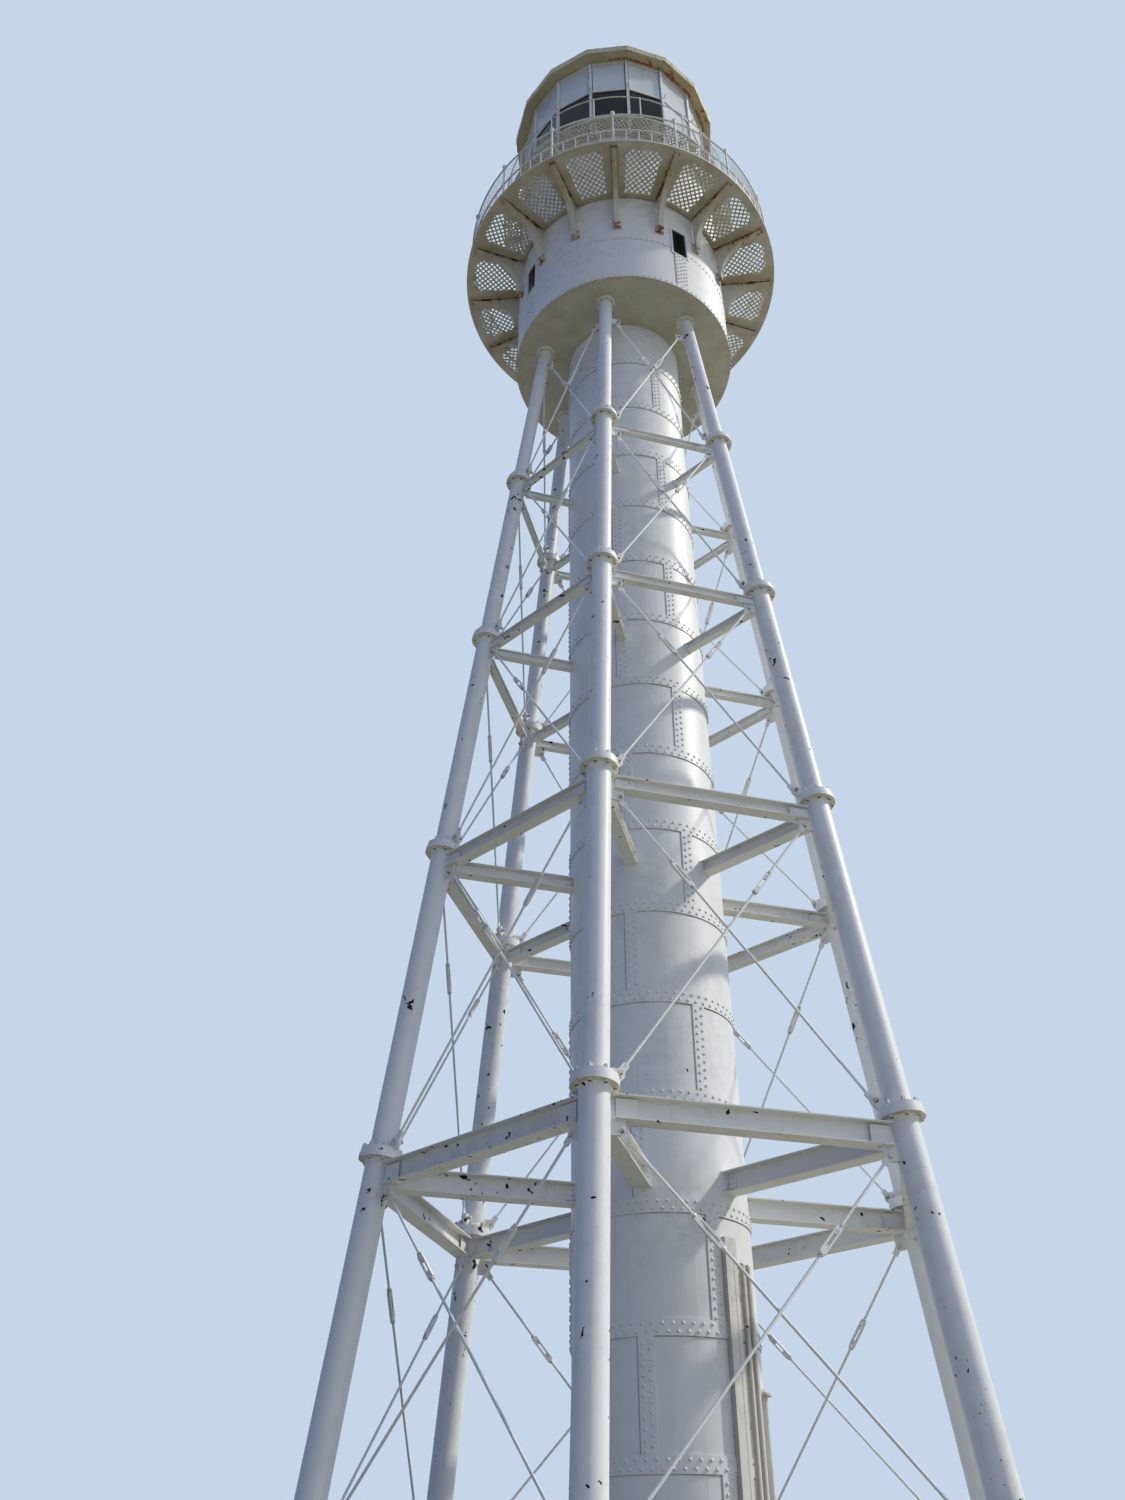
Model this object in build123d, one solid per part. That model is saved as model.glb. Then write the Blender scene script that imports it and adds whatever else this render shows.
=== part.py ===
"""Iron lighthouse: six raking tubular columns braced round a riveted stair tube, which carry a
watch-room drum, a bracketed gallery and a sixteen-sided lantern. Millimetres, +Z up, origin on the
tower axis at ground level, column 1 towards -Y. Azimuths are degrees from -Y towards +X."""
from build123d import *
from math import atan2, cos, degrees, radians, sin, sqrt
import os

# Column layout
column_count = 6
column_circle_ground = 3634
rake = 0.1157  # inward run of a column per unit of height
ring_levels = [4410, 8280, 11900, 15330]  # faces where one column tier seats on the next
soffit_level = 18830  # underside of the watch room floor
foot_height = 740  # seat of the lowest column tier on its foot casting
tier_diameters = [300, 280, 260, 240, 214]
column_wall = 22
flange_overhang = 84  # flange radius beyond the shaft
flange_thickness = 56
collar_overhang = 16
collar_fillet = 40  # height of the cone from the shaft out to its collar
head_plate_overhang = 55

# Feet and anchor bolts
foot_plate_diameter = 760
foot_plate_thickness = 50
anchor_circle_diameter = 620
anchor_hole_diameter = 44
anchor_count = 8
socket_overhang = 14  # socket radius beyond the column shaft
foot_rib_count = 4
foot_rib_thickness = 24
foot_rib_inset = 20  # from the edge of the plate to the toe of a rib
foot_rib_toe = 40
foot_rib_drop = 70  # from the top flange down to the head of a rib

# Bracing: rolled beams, lugs and tie rods
beam_depths = [228, 168, 132, 104]
beam_widths = [200, 155, 100, 80]
beam_flange = 13
beam_web = 10
beam_setback = 25  # from a column's shaft to the end of a beam
beam_axis_drop = 235  # from the seat of the tiers down to the axis of the beams
lug_thickness = 30
lug_overhang = 150  # beyond the column shaft
lug_edge = 45  # from a rod pin to the free edge of its lug, also the lug's chamfer
lug_seat = 2  # play under a girder's top flange, which the tilted lug takes up
lug_play = 4  # each side of a lug, in the slot of its beam
lug_bite = 25  # how far a beam's slot runs past the lug
rod_diameter = 28
rod_eye_width = 70
rod_eye_length = 110
rod_eye_thickness = 14
ear_height = 115  # from the tier seat up to the rod pin
hanger_drop = 100  # from the underside of a beam down to the rod pin
top_pin_drop = 575  # from the soffit down to the upper rod pins of the top tier
turnbuckle_drop = 1130  # along a rod, from its upper pin to the middle of its turnbuckle
turnbuckle_length = 330
turnbuckle_width = 64
turnbuckle_thickness = 34
turnbuckle_slot = 30
turnbuckle_head = 50  # solid end of the turnbuckle's open body
turnbuckle_gap = 140  # between the rod ends inside it
cleat_thickness = 14  # angle cleats that tie a strut to the tube
cleat_length = 110
cleat_spread = 15  # of the seating leg beyond the strut's flanges

# Stair tube
tube_radius = 977
tube_wall = 12
seam_first = 392  # height of the lowest ring seam
course_height = 1164
strap_width = 155
strap_thickness = 10
strap_foot = 60  # lower end of the lowest butt straps
butt_strap_width = 160
seam_azimuths = [43.7, -0.8]  # of alternate courses
plates_per_course = 3
tube_split_upper = 13700  # joint between the middle and the upper stretch of the tube
tube_segments = 6
tube_joint_azimuth = 30  # of the first upright joint over the doorway

# Entry door in the tube, on the side away from column 1
door_azimuth = 210
door_width = 720
door_height = 1900
door_sill = 120
door_frame_width = 60
door_frame_depth = 34
door_leaf_thickness = 16
hinge_width = 70
hinge_thickness = 12
hinge_shares = [0.15, 0.5, 0.85]  # of the door's height
hinge_reach = 0.5  # end of a hinge strap, as a share of the half door

# Service pipes on the tube
cable_cover_azimuth = 53
cable_cover_width = 150
cable_cover_depth = 60
cable_cover_height = 3600
pipe_diameter = 60
pipe_azimuths = [62, 68]
pipe_height = 3350
vent_azimuth = 76
vent_height = 2180
vent_cap_diameter = 150
vent_cap_rim = 26
vent_cap_crown = 40
vent_cap_top = 24
pipe_standoff = 25
pipe_clip_heights = [900, 1900, 3050]
pipe_clip_height = 50
pipe_clip_width = 36

# Watch-room drum
head_turn = -1.2  # of the drum and the gallery, against the columns
drum_radius = 1923
drum_wall = 12
drum_seam = 19960
floor_thickness = 12
drum_segments = 8
rim_strap_width = 90
drum_strap_width = 240
window_width = 290
window_height = 700
window_sill = 19845
window_azimuth = 45.5
window_count = 4
window_frame_width = 30
window_frame_depth = 16
pane_thickness = 8
head_ring_width = 170
head_ring_depth = 80
head_ring_leg = 14

# Gallery
gallery_count = 16  # brackets, posts, deck plates and lantern sides
deck_level = 21290  # underside of the gallery deck
deck_radius = 2951
deck_thickness = 40
deck_bearing = 73  # how far the deck reaches inward over the drum wall
lattice_thickness = 14
lattice_inner = 1965
lattice_border = 151  # solid rim outside the lattice
lattice_half_angle = 6.6
lattice_clip = 110
bracket_foot = 20280  # lower end of the brackets' web
bracket_setback = 91  # from the edge of the deck to the tip of a bracket
bracket_web = 22
bracket_rib_width = 92
bracket_rib_thickness = 18
bracket_cap_thickness = 14
bracket_tip = 60
bracket_heel = 70
bracket_bow_out = 0.28  # middle of the hollow edge, as shares of its reach and of its rise
bracket_bow_up = 0.72
bracket_root = 2  # how far the web is let into the pad
bracket_pad_width = 150
bracket_pad_height = 230
bracket_pad_toe = 20  # of the pad under the bracket's foot
bracket_pad_thickness = 22
post_inset = 71  # from the edge of the deck to the posts
post_height = 1045  # deck to ball centre
post_diameter = 46
post_base_diameter = 120
post_base_thickness = 16
post_foot_diameter = 74  # where the shaft meets its base
post_foot_height = 60
post_neck_diameter = 38
ball_diameter = 84
boss_overhang = 6  # rail boss radius beyond the post
rail_diameter = 32
top_rail_height = 985
mid_rail_height = 450
picket_count = 4
picket_width = 22
picket_thickness = 8
stair_opening = 800

# Lantern
lantern_turn = -2.6  # of the lantern and its roof, against the columns
base_wall = 10
catwalk_level = 23400
catwalk_radius = 2304
catwalk_thickness = 30
catwalk_post_inset = 33  # from the edge of the catwalk to the middle of its posts
catwalk_post_turn = 3.8  # of the posts and brackets, against the lantern's corners
catwalk_rail_height = 790
catwalk_post_diameter = 26
catwalk_rail_diameter = 23
catwalk_bracket_drop = 330
catwalk_bracket_toe = 30
catwalk_bracket_thickness = 14
sill_height = 70
mullion_width = 54
mullion_depth = 90
bar_face_inset = 12  # of the bars behind the lantern's corners
bar_depth = 58
pane_inset = 36
transom_level = 25300
transom_height = 44
glazing_top = 26440
blank_thickness = 6
blank_first = 2  # first glazing bay closed with sheet from sill to eave
blank_bays = 4
gallery_door_azimuth = 180
gallery_door_width = 600
gallery_door_height = 1650
gallery_door_frame_width = 40
gallery_door_frame_depth = 20

# Eave, roof and ventilator
eave_radius = 2130
gutter_width = 150
gutter_depth = 180
gutter_wall = 12
gutter_back_share = 0.7  # height of the gutter's back wall against its front
roof_rise = 1260  # over the lantern's head
roof_top_radius = 330
roof_sheet = 8
vent_curb_rim = 20  # upright edge of the curb
vent_curb_height = 60
vent_neck_radius = 250
vent_neck_height = 260
vent_ball_radius = 330
vent_ball_sink = 0.25  # of the ball's radius that sits in the neck
finial_sink = 14  # of the spike into the ball
finial_height = 180
finial_foot_radius = 45
finial_top_radius = 14

# Clearance between pieces that lie on each other
fit = 0.3

# Worked out from the above
column_lean = sqrt(1 + rake**2)
tier_seats = [foot_height] + ring_levels
tube_split_lower = ring_levels[1]
floor_top = deck_level + deck_thickness
post_circle = deck_radius - post_inset
bracket_reach = deck_radius - bracket_setback
lantern_radius = drum_radius  # to the corners of its sixteen sides
catwalk_post_circle = catwalk_radius - catwalk_post_inset
catwalk_top = catwalk_level + catwalk_thickness
roof_top = glazing_top + roof_rise


def column_radius(height):
    """Distance of a column's axis from the tower axis at a height."""
    return column_circle_ground - rake * height


def around(piece, azimuth):
    """Turn a piece modelled towards -Y to an azimuth."""
    return Rot(Z=azimuth) * piece


def every(piece, count, start=0.0):
    """Copies of a piece at equal azimuths."""
    return [around(piece, start + 360 / count * k) for k in range(count)]


def turned_by(angle, pieces):
    """Pieces of the head, which stands turned a little against the columns."""
    return [around(piece, angle) for piece in pieces]


def save(name, pieces):
    """Write the solids of one sub-part."""
    solids = []
    for piece in pieces:
        solids += piece.solids()
    export_step(Compound(children=solids), f"parts/{name}.step")
    print(f"{name}: {len(solids)} solids, {sum(s.volume for s in solids) / 1e9:.3f} m3")


def sector(points, start, end):
    """Section (radius, height) swept about the tower axis from one azimuth to another."""
    face = make_face(Polyline(*[(r, 0, z) for r, z in points], close=True))
    return Rot(Z=start - 90) * revolve(face, Axis.Z, revolution_arc=end - start)


def band(inner, outer, low, high, start, end):
    """Sector of rectangular section."""
    return sector([(inner, low), (outer, low), (outer, high), (inner, high)], start, end)


def shares(start, end, count, radius):
    """Equal stretches of an arc, each a hair short of its neighbours."""
    gap = degrees(fit / radius)
    step = (end - start) / count
    return [(start + step * k + gap, start + step * (k + 1) - gap) for k in range(count)]


def bands(inner, outer, low, high, start, end, count):
    """Wall of rectangular section in equal sectors."""
    return [band(inner, outer, low, high, a, b) for a, b in shares(start, end, count, outer)]


def width_angle(width, radius):
    """Half the angle that a width takes up on a circle."""
    return degrees(width / 2 / radius)


def hoop(inner, outer, low, high):
    """Closed ring, with a hairline joint at azimuth 0."""
    return bands(inner, outer, low, high, 0, 360, 1)[0]


def round_bar(radius, height):
    """Upright cylinder standing on the origin."""
    return Cylinder(radius, height, align=(Align.CENTER, Align.CENTER, Align.MIN))


def cone(low_radius, high_radius, height):
    """Upright cone standing on the origin."""
    return Cone(low_radius, high_radius, height, align=(Align.CENTER, Align.CENTER, Align.MIN))


def turned(points):
    """Turned piece from its outline (radius, height)."""
    return revolve(make_face(Polyline(*[(r, 0, z) for r, z in points], close=True)), Axis.Z)


def on_tower(azimuth, radius, height=0.0):
    """Place of a point given by azimuth, radius and height."""
    return Pos(radius * sin(radians(azimuth)), -radius * cos(radians(azimuth)), height)


# Columns and their lugs


def column_frame(height):
    """Plane square to column 1's axis at a height."""
    return Plane(origin=(0, -column_radius(height), height), x_dir=(1, 0, 0), z_dir=(0, rake, 1))


def face_frame():
    """Plane through the axes of columns 1 and 2: x along the face, y up it, z outwards."""
    middle = 180 / column_count
    apothem = cos(radians(middle))
    origin = Vector(0, -column_circle_ground * apothem, 0)
    slope = rake * apothem
    frame = Plane(origin=origin, x_dir=(1, 0, 0), z_dir=(0, -1, slope))
    return Rot(Z=middle) * frame.location, sqrt(1 + slope**2)


face_location, face_stretch = face_frame()


def face_point(side, height, inset):
    """Point of the face plane beside a column: side -1 is column 1, +1 is column 2."""
    half = column_radius(height) * sin(radians(180 / column_count))
    return (side * (half - inset), height * face_stretch)


def pin_inset(tier):
    """Distance of the rod pins from a column's axis."""
    return tier_diameters[tier] / 2 + lug_overhang - lug_edge


def lug_outline(tier, side, low, high):
    """Lug plate in the face plane, from the column axis out past its shaft."""
    reach = tier_diameters[tier] / 2 + lug_overhang
    a = face_point(side, low, 0)
    b = face_point(side, low, reach - lug_edge)
    c = face_point(side, low + lug_edge, reach)
    d = face_point(side, high, reach)
    e = face_point(side, high, 0)
    return extrude(make_face(Polyline(a, b, c, d, e, close=True)), lug_thickness / 2, both=True)


def beam_span(level):
    """Lowest and highest point of the beams of a level."""
    axis = ring_levels[level] - beam_axis_drop
    return axis - beam_depths[level] / 2, axis + beam_depths[level] / 2


def lower_pin_level(panel):
    """Height of the rod pins over the foot flange of a column tier."""
    return tier_seats[panel] + ear_height


def upper_pin_level(panel):
    """Height of the rod pins under the beams at the head of a column tier."""
    if panel == len(ring_levels):
        return soffit_level - top_pin_drop
    return beam_span(panel)[0] - hanger_drop


def column_lugs(tier):
    """Ears for the rods over the foot flange, hangers for those under the head, and a radial lug."""
    ear_span = (tier_seats[tier] + flange_thickness / 2, lower_pin_level(tier) + lug_edge)
    pin = upper_pin_level(tier)
    if tier == len(ring_levels):
        hanger_span = (pin - lug_edge, pin + 2 * lug_edge)
    else:
        low, high = beam_span(tier)
        hanger_span = (pin - lug_edge, high - beam_flange - lug_seat)
    lugs = []
    for side, turn in ((-1, 0), (1, -360 / column_count)):
        for span in (ear_span, hanger_span):
            lugs.append(Rot(Z=turn) * face_location * lug_outline(tier, side, *span))
    if tier < len(ring_levels):
        reach = tier_diameters[tier] / 2 + lug_overhang
        height = high - low - 2 * beam_flange - 2 * fit
        middle = (low + high) / 2
        plate = Box(lug_thickness, reach, height, align=(Align.CENTER, Align.MIN, Align.CENTER))
        lugs.append(Pos(0, -column_radius(middle), middle) * plate)
    return lugs


def column_piece(tier):
    """Cast column of one tier: flanged shaft with its lugs; the top tier ends in a level head plate."""
    low = tier_seats[tier]
    top_tier = tier == len(ring_levels)
    high = soffit_level if top_tier else ring_levels[tier]
    length = (high - low) * column_lean
    radius = tier_diameters[tier] / 2
    flange = radius + flange_overhang
    collar = radius + collar_overhang
    bore = radius - column_wall
    neck = flange_thickness + collar_fillet
    section = [(bore, 0), (flange, 0), (flange, flange_thickness), (collar, flange_thickness)]
    section.append((radius, neck))
    if top_tier:
        section += [(radius, length + flange_thickness), (bore, length + flange_thickness)]
    else:
        section += [(radius, length - neck), (collar, length - flange_thickness)]
        section += [(flange, length - flange_thickness), (flange, length), (bore, length)]
    frame = column_frame(low).location
    core = frame * round_bar(bore + 1, length)
    piece = (frame * turned(section)).fuse(*[lug - core for lug in column_lugs(tier)])
    if top_tier:
        head = radius + head_plate_overhang
        centre = Pos(0, -column_radius(high), high)
        plate = centre * Pos(0, 0, -flange_thickness) * round_bar(head, flange_thickness)
        above = centre * round_bar(2 * head, 4 * flange_thickness)
        piece = (piece + (plate - core)) - above
    return piece


def foot_casting():
    """Foot: level bolted base plate, raking socket with its flange, and ribs."""
    socket_radius = tier_diameters[0] / 2 + socket_overhang
    flange = tier_diameters[0] / 2 + flange_overhang
    bore = tier_diameters[0] / 2 - column_wall
    length = foot_height * column_lean
    centre = Pos(0, -column_circle_ground, 0)
    plate = centre * round_bar(foot_plate_diameter / 2, foot_plate_thickness)
    bolt = round_bar(anchor_hole_diameter / 2, foot_plate_thickness)
    spots = PolarLocations(anchor_circle_diameter / 2, anchor_count, start_angle=180 / anchor_count)
    holes = [centre * spot * bolt for spot in spots]
    sunk = socket_radius * rake + 2
    socket = column_frame(0).location * Pos(0, 0, -sunk) * round_bar(socket_radius, length + sunk)
    seat = column_frame(foot_height).location * Pos(0, 0, -flange_thickness)
    rib_top = foot_height - flange_thickness - foot_rib_drop
    toe = foot_plate_diameter / 2 - foot_rib_inset
    ribs = []
    for k in range(foot_rib_count):
        turn = 360 / foot_rib_count * k
        head = socket_radius + foot_rib_inset + rake * rib_top * sin(radians(turn))
        outline = Polyline((0, 0), (toe, 0), (toe, foot_rib_toe), (head, rib_top), (0, rib_top), close=True)
        rib = extrude(Plane.XZ * make_face(outline), foot_rib_thickness / 2, both=True)
        ribs.append(centre * Pos(0, 0, foot_plate_thickness) * Rot(Z=turn) * rib)
    below = centre * Pos(0, 0, -2 * sunk) * round_bar(foot_plate_diameter, 2 * sunk)
    well = column_frame(0).location * Pos(0, 0, foot_plate_thickness) * round_bar(bore, length)
    whole = plate.fuse(socket, seat * round_bar(flange, flange_thickness), *ribs)
    return (whole - below).cut(well, *holes)


# Beams and tie rods


def beam_section(width, depth):
    """I section, centred, top flange up."""
    pocket = Rectangle((width - beam_web) / 2, depth - 2 * beam_flange)
    side = (width + beam_web) / 4
    return Rectangle(width, depth) - Pos(side, 0) * pocket - Pos(-side, 0) * pocket


def slot_width(level):
    """Slot over a lug, which leans within the depth of an upright beam."""
    return lug_thickness + 2 * lug_play + rake * beam_depths[level]


def ring_girder(level):
    """I beam between columns 1 and 2, its web and bottom flange slotted over the column lugs."""
    depth, width = beam_depths[level], beam_widths[level]
    middle = sum(beam_span(level)) / 2
    turn = radians(180 / column_count)
    apothem = column_radius(middle) * cos(turn)
    half = column_radius(middle) * sin(turn) - tier_diameters[level] / 2 - beam_setback
    frame = Plane(origin=(-half, -apothem, middle), x_dir=(0, 1, 0), z_dir=(1, 0, 0))
    beam = extrude(frame * beam_section(width, depth), 2 * half)
    reach = lug_overhang - beam_setback + lug_bite
    slot = Box(2 * reach, slot_width(level), depth - beam_flange)
    for side in (-1, 1):
        beam -= Pos(side * half, -apothem, middle - beam_flange / 2) * slot
    return around(beam, 180 / column_count)


def radial_strut(level):
    """I beam from column 1 to the tube, tied to the tube wall by angle cleats."""
    depth, width = beam_depths[level], beam_widths[level]
    low, high = beam_span(level)
    middle = (low + high) / 2
    start = column_radius(middle) - tier_diameters[level] / 2 - beam_setback
    frame = Plane(origin=(0, -start, middle), x_dir=(-1, 0, 0), z_dir=(0, 1, 0))
    beam = extrude(frame * beam_section(width, depth), start - tube_radius / 2)
    reach = lug_overhang - beam_setback + lug_bite
    beam -= Pos(0, -start, middle) * Box(slot_width(level), 2 * reach, depth - 2 * beam_flange)
    face = tube_radius + fit
    web_cleats = Pos(0, -face, middle) * Box(
        beam_web + 2 * cleat_thickness, 2 * cleat_length, depth - 3 * beam_flange
    )
    edge = width_angle(width + 2 * cleat_spread, face)
    seat_legs = band(face, face + cleat_thickness, low, high, -edge, edge)
    tube = Pos(0, 0, low - depth) * round_bar(face, 3 * depth)
    return beam.fuse(web_cleats, seat_legs) - tube


def tie_rod(panel, side):
    """Rod of one face, from the ear of one column up to the hanger of the next, with its turnbuckle.
    side -1 starts at column 1 and lies outside the lugs, +1 starts at column 2 and lies inside."""
    inset = pin_inset(panel)
    start = Vector(*face_point(side, lower_pin_level(panel), inset))
    end = Vector(*face_point(-side, upper_pin_level(panel), inset))
    run = end - start
    length = run.length
    half_eye = rod_eye_width / 2
    neck = rod_eye_length - rod_diameter
    bar = Pos(neck, 0, 0) * Rot(Y=90) * round_bar(rod_diameter / 2, length - 2 * neck)
    eyes = []
    for spot, way in ((0, 1), (length, -1)):
        plate = Box(rod_eye_length + half_eye, rod_eye_width, rod_eye_thickness)
        eyes.append(Pos(spot + way * (rod_eye_length - half_eye) / 2, 0, 0) * plate)
    body = Box(turnbuckle_length, turnbuckle_width, turnbuckle_thickness)
    slot = Box(turnbuckle_length - 2 * turnbuckle_head, turnbuckle_slot, turnbuckle_thickness)
    centre = Pos(length - turnbuckle_drop, 0, 0)
    parted = bar - centre * Box(turnbuckle_gap, rod_diameter, rod_diameter)
    rod = parted.fuse(*eyes, centre * (body - slot))
    offset = -side * (lug_thickness / 2 + rod_eye_thickness / 2 + fit)
    turn = degrees(atan2(run.Y, run.X))
    return face_location * Pos(start.X, start.Y, offset) * Rot(Z=turn) * rod


# Stair tube, its entry door and pipes

door_half = width_angle(door_width, tube_radius)
door_left = door_azimuth - door_half
door_right = door_azimuth + door_half
door_head = door_sill + door_height


def lower_tube_wall():
    """Lowest stretch of the tube, with the doorway cut through it."""
    inner = tube_radius - tube_wall
    top = tube_split_lower - fit / 2
    walls = bands(inner, tube_radius, 0, top, door_right, door_left + 360, tube_segments)
    walls += bands(inner, tube_radius, door_head, top, door_left, door_right, 1)
    walls += bands(inner, tube_radius, 0, door_sill, door_left, door_right, 1)
    return walls


def upper_tube_wall(low, high):
    """Stretch of the tube over the doorway."""
    inner = tube_radius - tube_wall
    start = tube_joint_azimuth
    return bands(inner, tube_radius, low + fit / 2, high - fit / 2, start, start + 360, tube_segments)


def seam_heights():
    """Ring seams between the courses of the tube."""
    heights = []
    height = seam_first
    while height < soffit_level - course_height / 2:
        heights.append(height)
        height += course_height
    return heights


def strut_seats(inner, outer):
    """Room in the butt straps for the cleats of the radial struts."""
    seats = []
    for width, level in zip(beam_widths, range(len(ring_levels))):
        low, high = beam_span(level)
        edge = width_angle(width + 2 * (cleat_spread + fit), inner)
        seats += every(band(inner - 1, outer + 1, low - fit, high + fit, -edge, edge), column_count)
    return seats


def tube_straps():
    """Ring straps over the horizontal seams and butt straps over the upright ones, alternating."""
    inner = tube_radius + fit
    outer = inner + strap_thickness
    half = strap_width / 2
    seams = seam_heights()
    seats = strut_seats(inner, outer)
    clear = width_angle(2 * (door_frame_width + strap_thickness), outer)
    left, right = door_left - clear, door_right + clear
    doorway_top = door_head + door_frame_width + strap_thickness
    straps = []
    for height in seams:
        if height - half < doorway_top:
            straps.append(band(inner, outer, height - half, height + half, right, left + 360))
        else:
            straps.append(hoop(inner, outer, height - half, height + half))
    edge = width_angle(butt_strap_width, outer)
    doorway = band(inner - 1, outer + 1, 0, doorway_top, left, right)
    lows = [strap_foot] + [height + half + fit for height in seams]
    highs = [height - half - fit for height in seams] + [soffit_level - fit]
    for course, (low, high) in enumerate(zip(lows, highs)):
        near = [seat for seat in seats if low < seat.center().Z < high]
        for plate in range(plates_per_course):
            azimuth = seam_azimuths[(course + 1) % 2] + 360 / plates_per_course * plate
            strap = band(inner, outer, low, high, azimuth - edge, azimuth + edge)
            if near:
                strap = strap.cut(*near)
            beside_door = abs((azimuth - door_azimuth + 180) % 360 - 180) < 2 * door_half
            if low < doorway_top and beside_door:
                strap -= doorway
            straps.append(strap)
    return straps


def frame_round(azimuth, half, low, high, inner, outer, border):
    """Frame bent to a round wall: two jambs, a head and a sill, in one piece."""
    edge = width_angle(2 * border, outer)
    whole = band(inner, outer, low - border, high + border, azimuth - half - edge, azimuth + half + edge)
    hole = band(inner - 1, outer + 1, low, high, azimuth - half, azimuth + half)
    return whole - hole


def door_set():
    """Frame and leaf of the entry door, bent to the tube."""
    inner = tube_radius + fit
    frame = frame_round(
        door_azimuth, door_half, door_sill, door_head, inner, inner + door_frame_depth, door_frame_width
    )
    face = tube_radius + door_leaf_thickness / 2
    play = degrees(fit / tube_radius)
    left, right = door_left + play, door_right - play
    leaf = band(face - door_leaf_thickness, face, door_sill + fit, door_head - fit, left, right)
    hinges = []
    for share in hinge_shares:
        height = door_sill + door_height * share
        hinges.append(band(
            face - 1, face + hinge_thickness, height - hinge_width / 2, height + hinge_width / 2,
            left, door_azimuth + door_half * hinge_reach,
        ))
    return frame, leaf.fuse(*hinges)


def pipe_on_tube(azimuth, height, head):
    """Upright pipe clipped to the tube, with its head piece."""
    centre = tube_radius + strap_thickness + 2 * fit + pipe_standoff + pipe_diameter / 2
    depth = centre - tube_radius
    pipe = on_tower(azimuth, centre) * round_bar(pipe_diameter / 2, height)
    pipe += on_tower(azimuth, centre, height) * Rot(Z=azimuth) * head(depth)
    clip = Box(pipe_clip_width, depth, pipe_clip_height, align=(Align.CENTER, Align.MIN, Align.CENTER))
    for clip_height in pipe_clip_heights:
        if clip_height < height:
            pipe += on_tower(azimuth, centre, clip_height) * Rot(Z=azimuth) * clip
    return pipe - round_bar(tube_radius + fit, height + pipe_diameter)


def elbow(depth):
    """Head of a riser pipe, turned into the tube wall."""
    radius = pipe_diameter / 2
    return Rot(X=-90) * round_bar(radius, depth) + Sphere(radius)


def mushroom(depth):
    """Rain cap of the vent pipe."""
    rim = vent_cap_diameter / 2
    crown = cone(rim, vent_cap_top / 2, vent_cap_crown)
    return round_bar(rim, vent_cap_rim) + Pos(0, 0, vent_cap_rim) * crown


def service_pipes():
    """Cable cover, two riser pipes, and a vent pipe with a mushroom cap."""
    back = tube_radius + strap_thickness + 2 * fit
    half = width_angle(cable_cover_width, back)
    pieces = [band(
        back, back + cable_cover_depth, 0, cable_cover_height,
        cable_cover_azimuth - half, cable_cover_azimuth + half,
    )]
    pieces += [pipe_on_tube(azimuth, pipe_height, elbow) for azimuth in pipe_azimuths]
    pieces.append(pipe_on_tube(vent_azimuth, vent_height, mushroom))
    return pieces


# Watch-room drum

window_half = width_angle(window_width, drum_radius)
window_high = window_sill + window_height
window_azimuths = [window_azimuth + 360 / window_count * k for k in range(window_count)]


def drum_course(low, high, beside_low, beside_high):
    """Course of the drum wall: shorter pieces at the windows, which stand across its seam."""
    inner = drum_radius - drum_wall
    walls = []
    for azimuth in window_azimuths:
        left, right = azimuth - window_half, azimuth + window_half
        walls += bands(inner, drum_radius, low, high, right, left + 360 / window_count, 2)
        walls += bands(inner, drum_radius, beside_low, beside_high, left, right, 1)
    return walls


def drum_walls():
    """Lower course, on the floor's rim, and upper course up to the gallery deck."""
    low = soffit_level + floor_thickness + fit
    top = deck_level - fit
    lower = drum_course(low, drum_seam - fit, low, window_sill)
    return lower, drum_course(drum_seam, top, window_high, top)


def drum_windows():
    """Frames proud of the drum and the panes behind them."""
    frames, panes = [], []
    face = drum_radius + fit
    back = drum_radius - drum_wall
    for azimuth in window_azimuths:
        frames.append(frame_round(
            azimuth, window_half, window_sill, window_high,
            face, face + window_frame_depth, window_frame_width,
        ))
        panes += bands(
            back, back + pane_thickness, window_sill + fit, window_high - fit,
            azimuth - window_half, azimuth + window_half, 1,
        )
    return frames, panes


def drum_straps():
    """Rim strap round the foot of the drum and butt straps under its windows."""
    inner = drum_radius + fit
    outer = inner + strap_thickness
    top = soffit_level + rim_strap_width
    under_window = window_sill - window_frame_width - fit
    half = width_angle(drum_strap_width, outer)
    straps = [hoop(inner, outer, soffit_level, top)]
    for azimuth in window_azimuths:
        straps.append(band(inner, outer, top + fit, under_window, azimuth - half, azimuth + half))
    return straps


def head_ring():
    """Angle ring inside the head of the drum, carrying the deck and the lantern floor."""
    outer = drum_radius - drum_wall - fit
    inner = outer - head_ring_width
    top = deck_level - fit
    leg = outer - head_ring_leg
    section = [(leg, top - head_ring_depth), (outer, top - head_ring_depth), (outer, top)]
    section += [(inner, top), (inner, top - head_ring_leg), (leg, top - head_ring_leg)]
    return [sector(section, a, b) for a, b in shares(0, 360, drum_segments, outer)]


# Gallery


def offset_arc(edge, thickness):
    """Strip of even thickness on the hollow side of an arc."""
    scale = 1 - thickness / edge.radius

    def shrink(point):
        return edge.arc_center + (point - edge.arc_center) * scale

    start, middle, end = edge @ 0, edge @ 0.5, edge @ 1
    other = ThreePointArc(shrink(end), shrink(middle), shrink(start))
    return make_face([edge, Line(end, shrink(end)), other, Line(shrink(start), start)])


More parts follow.
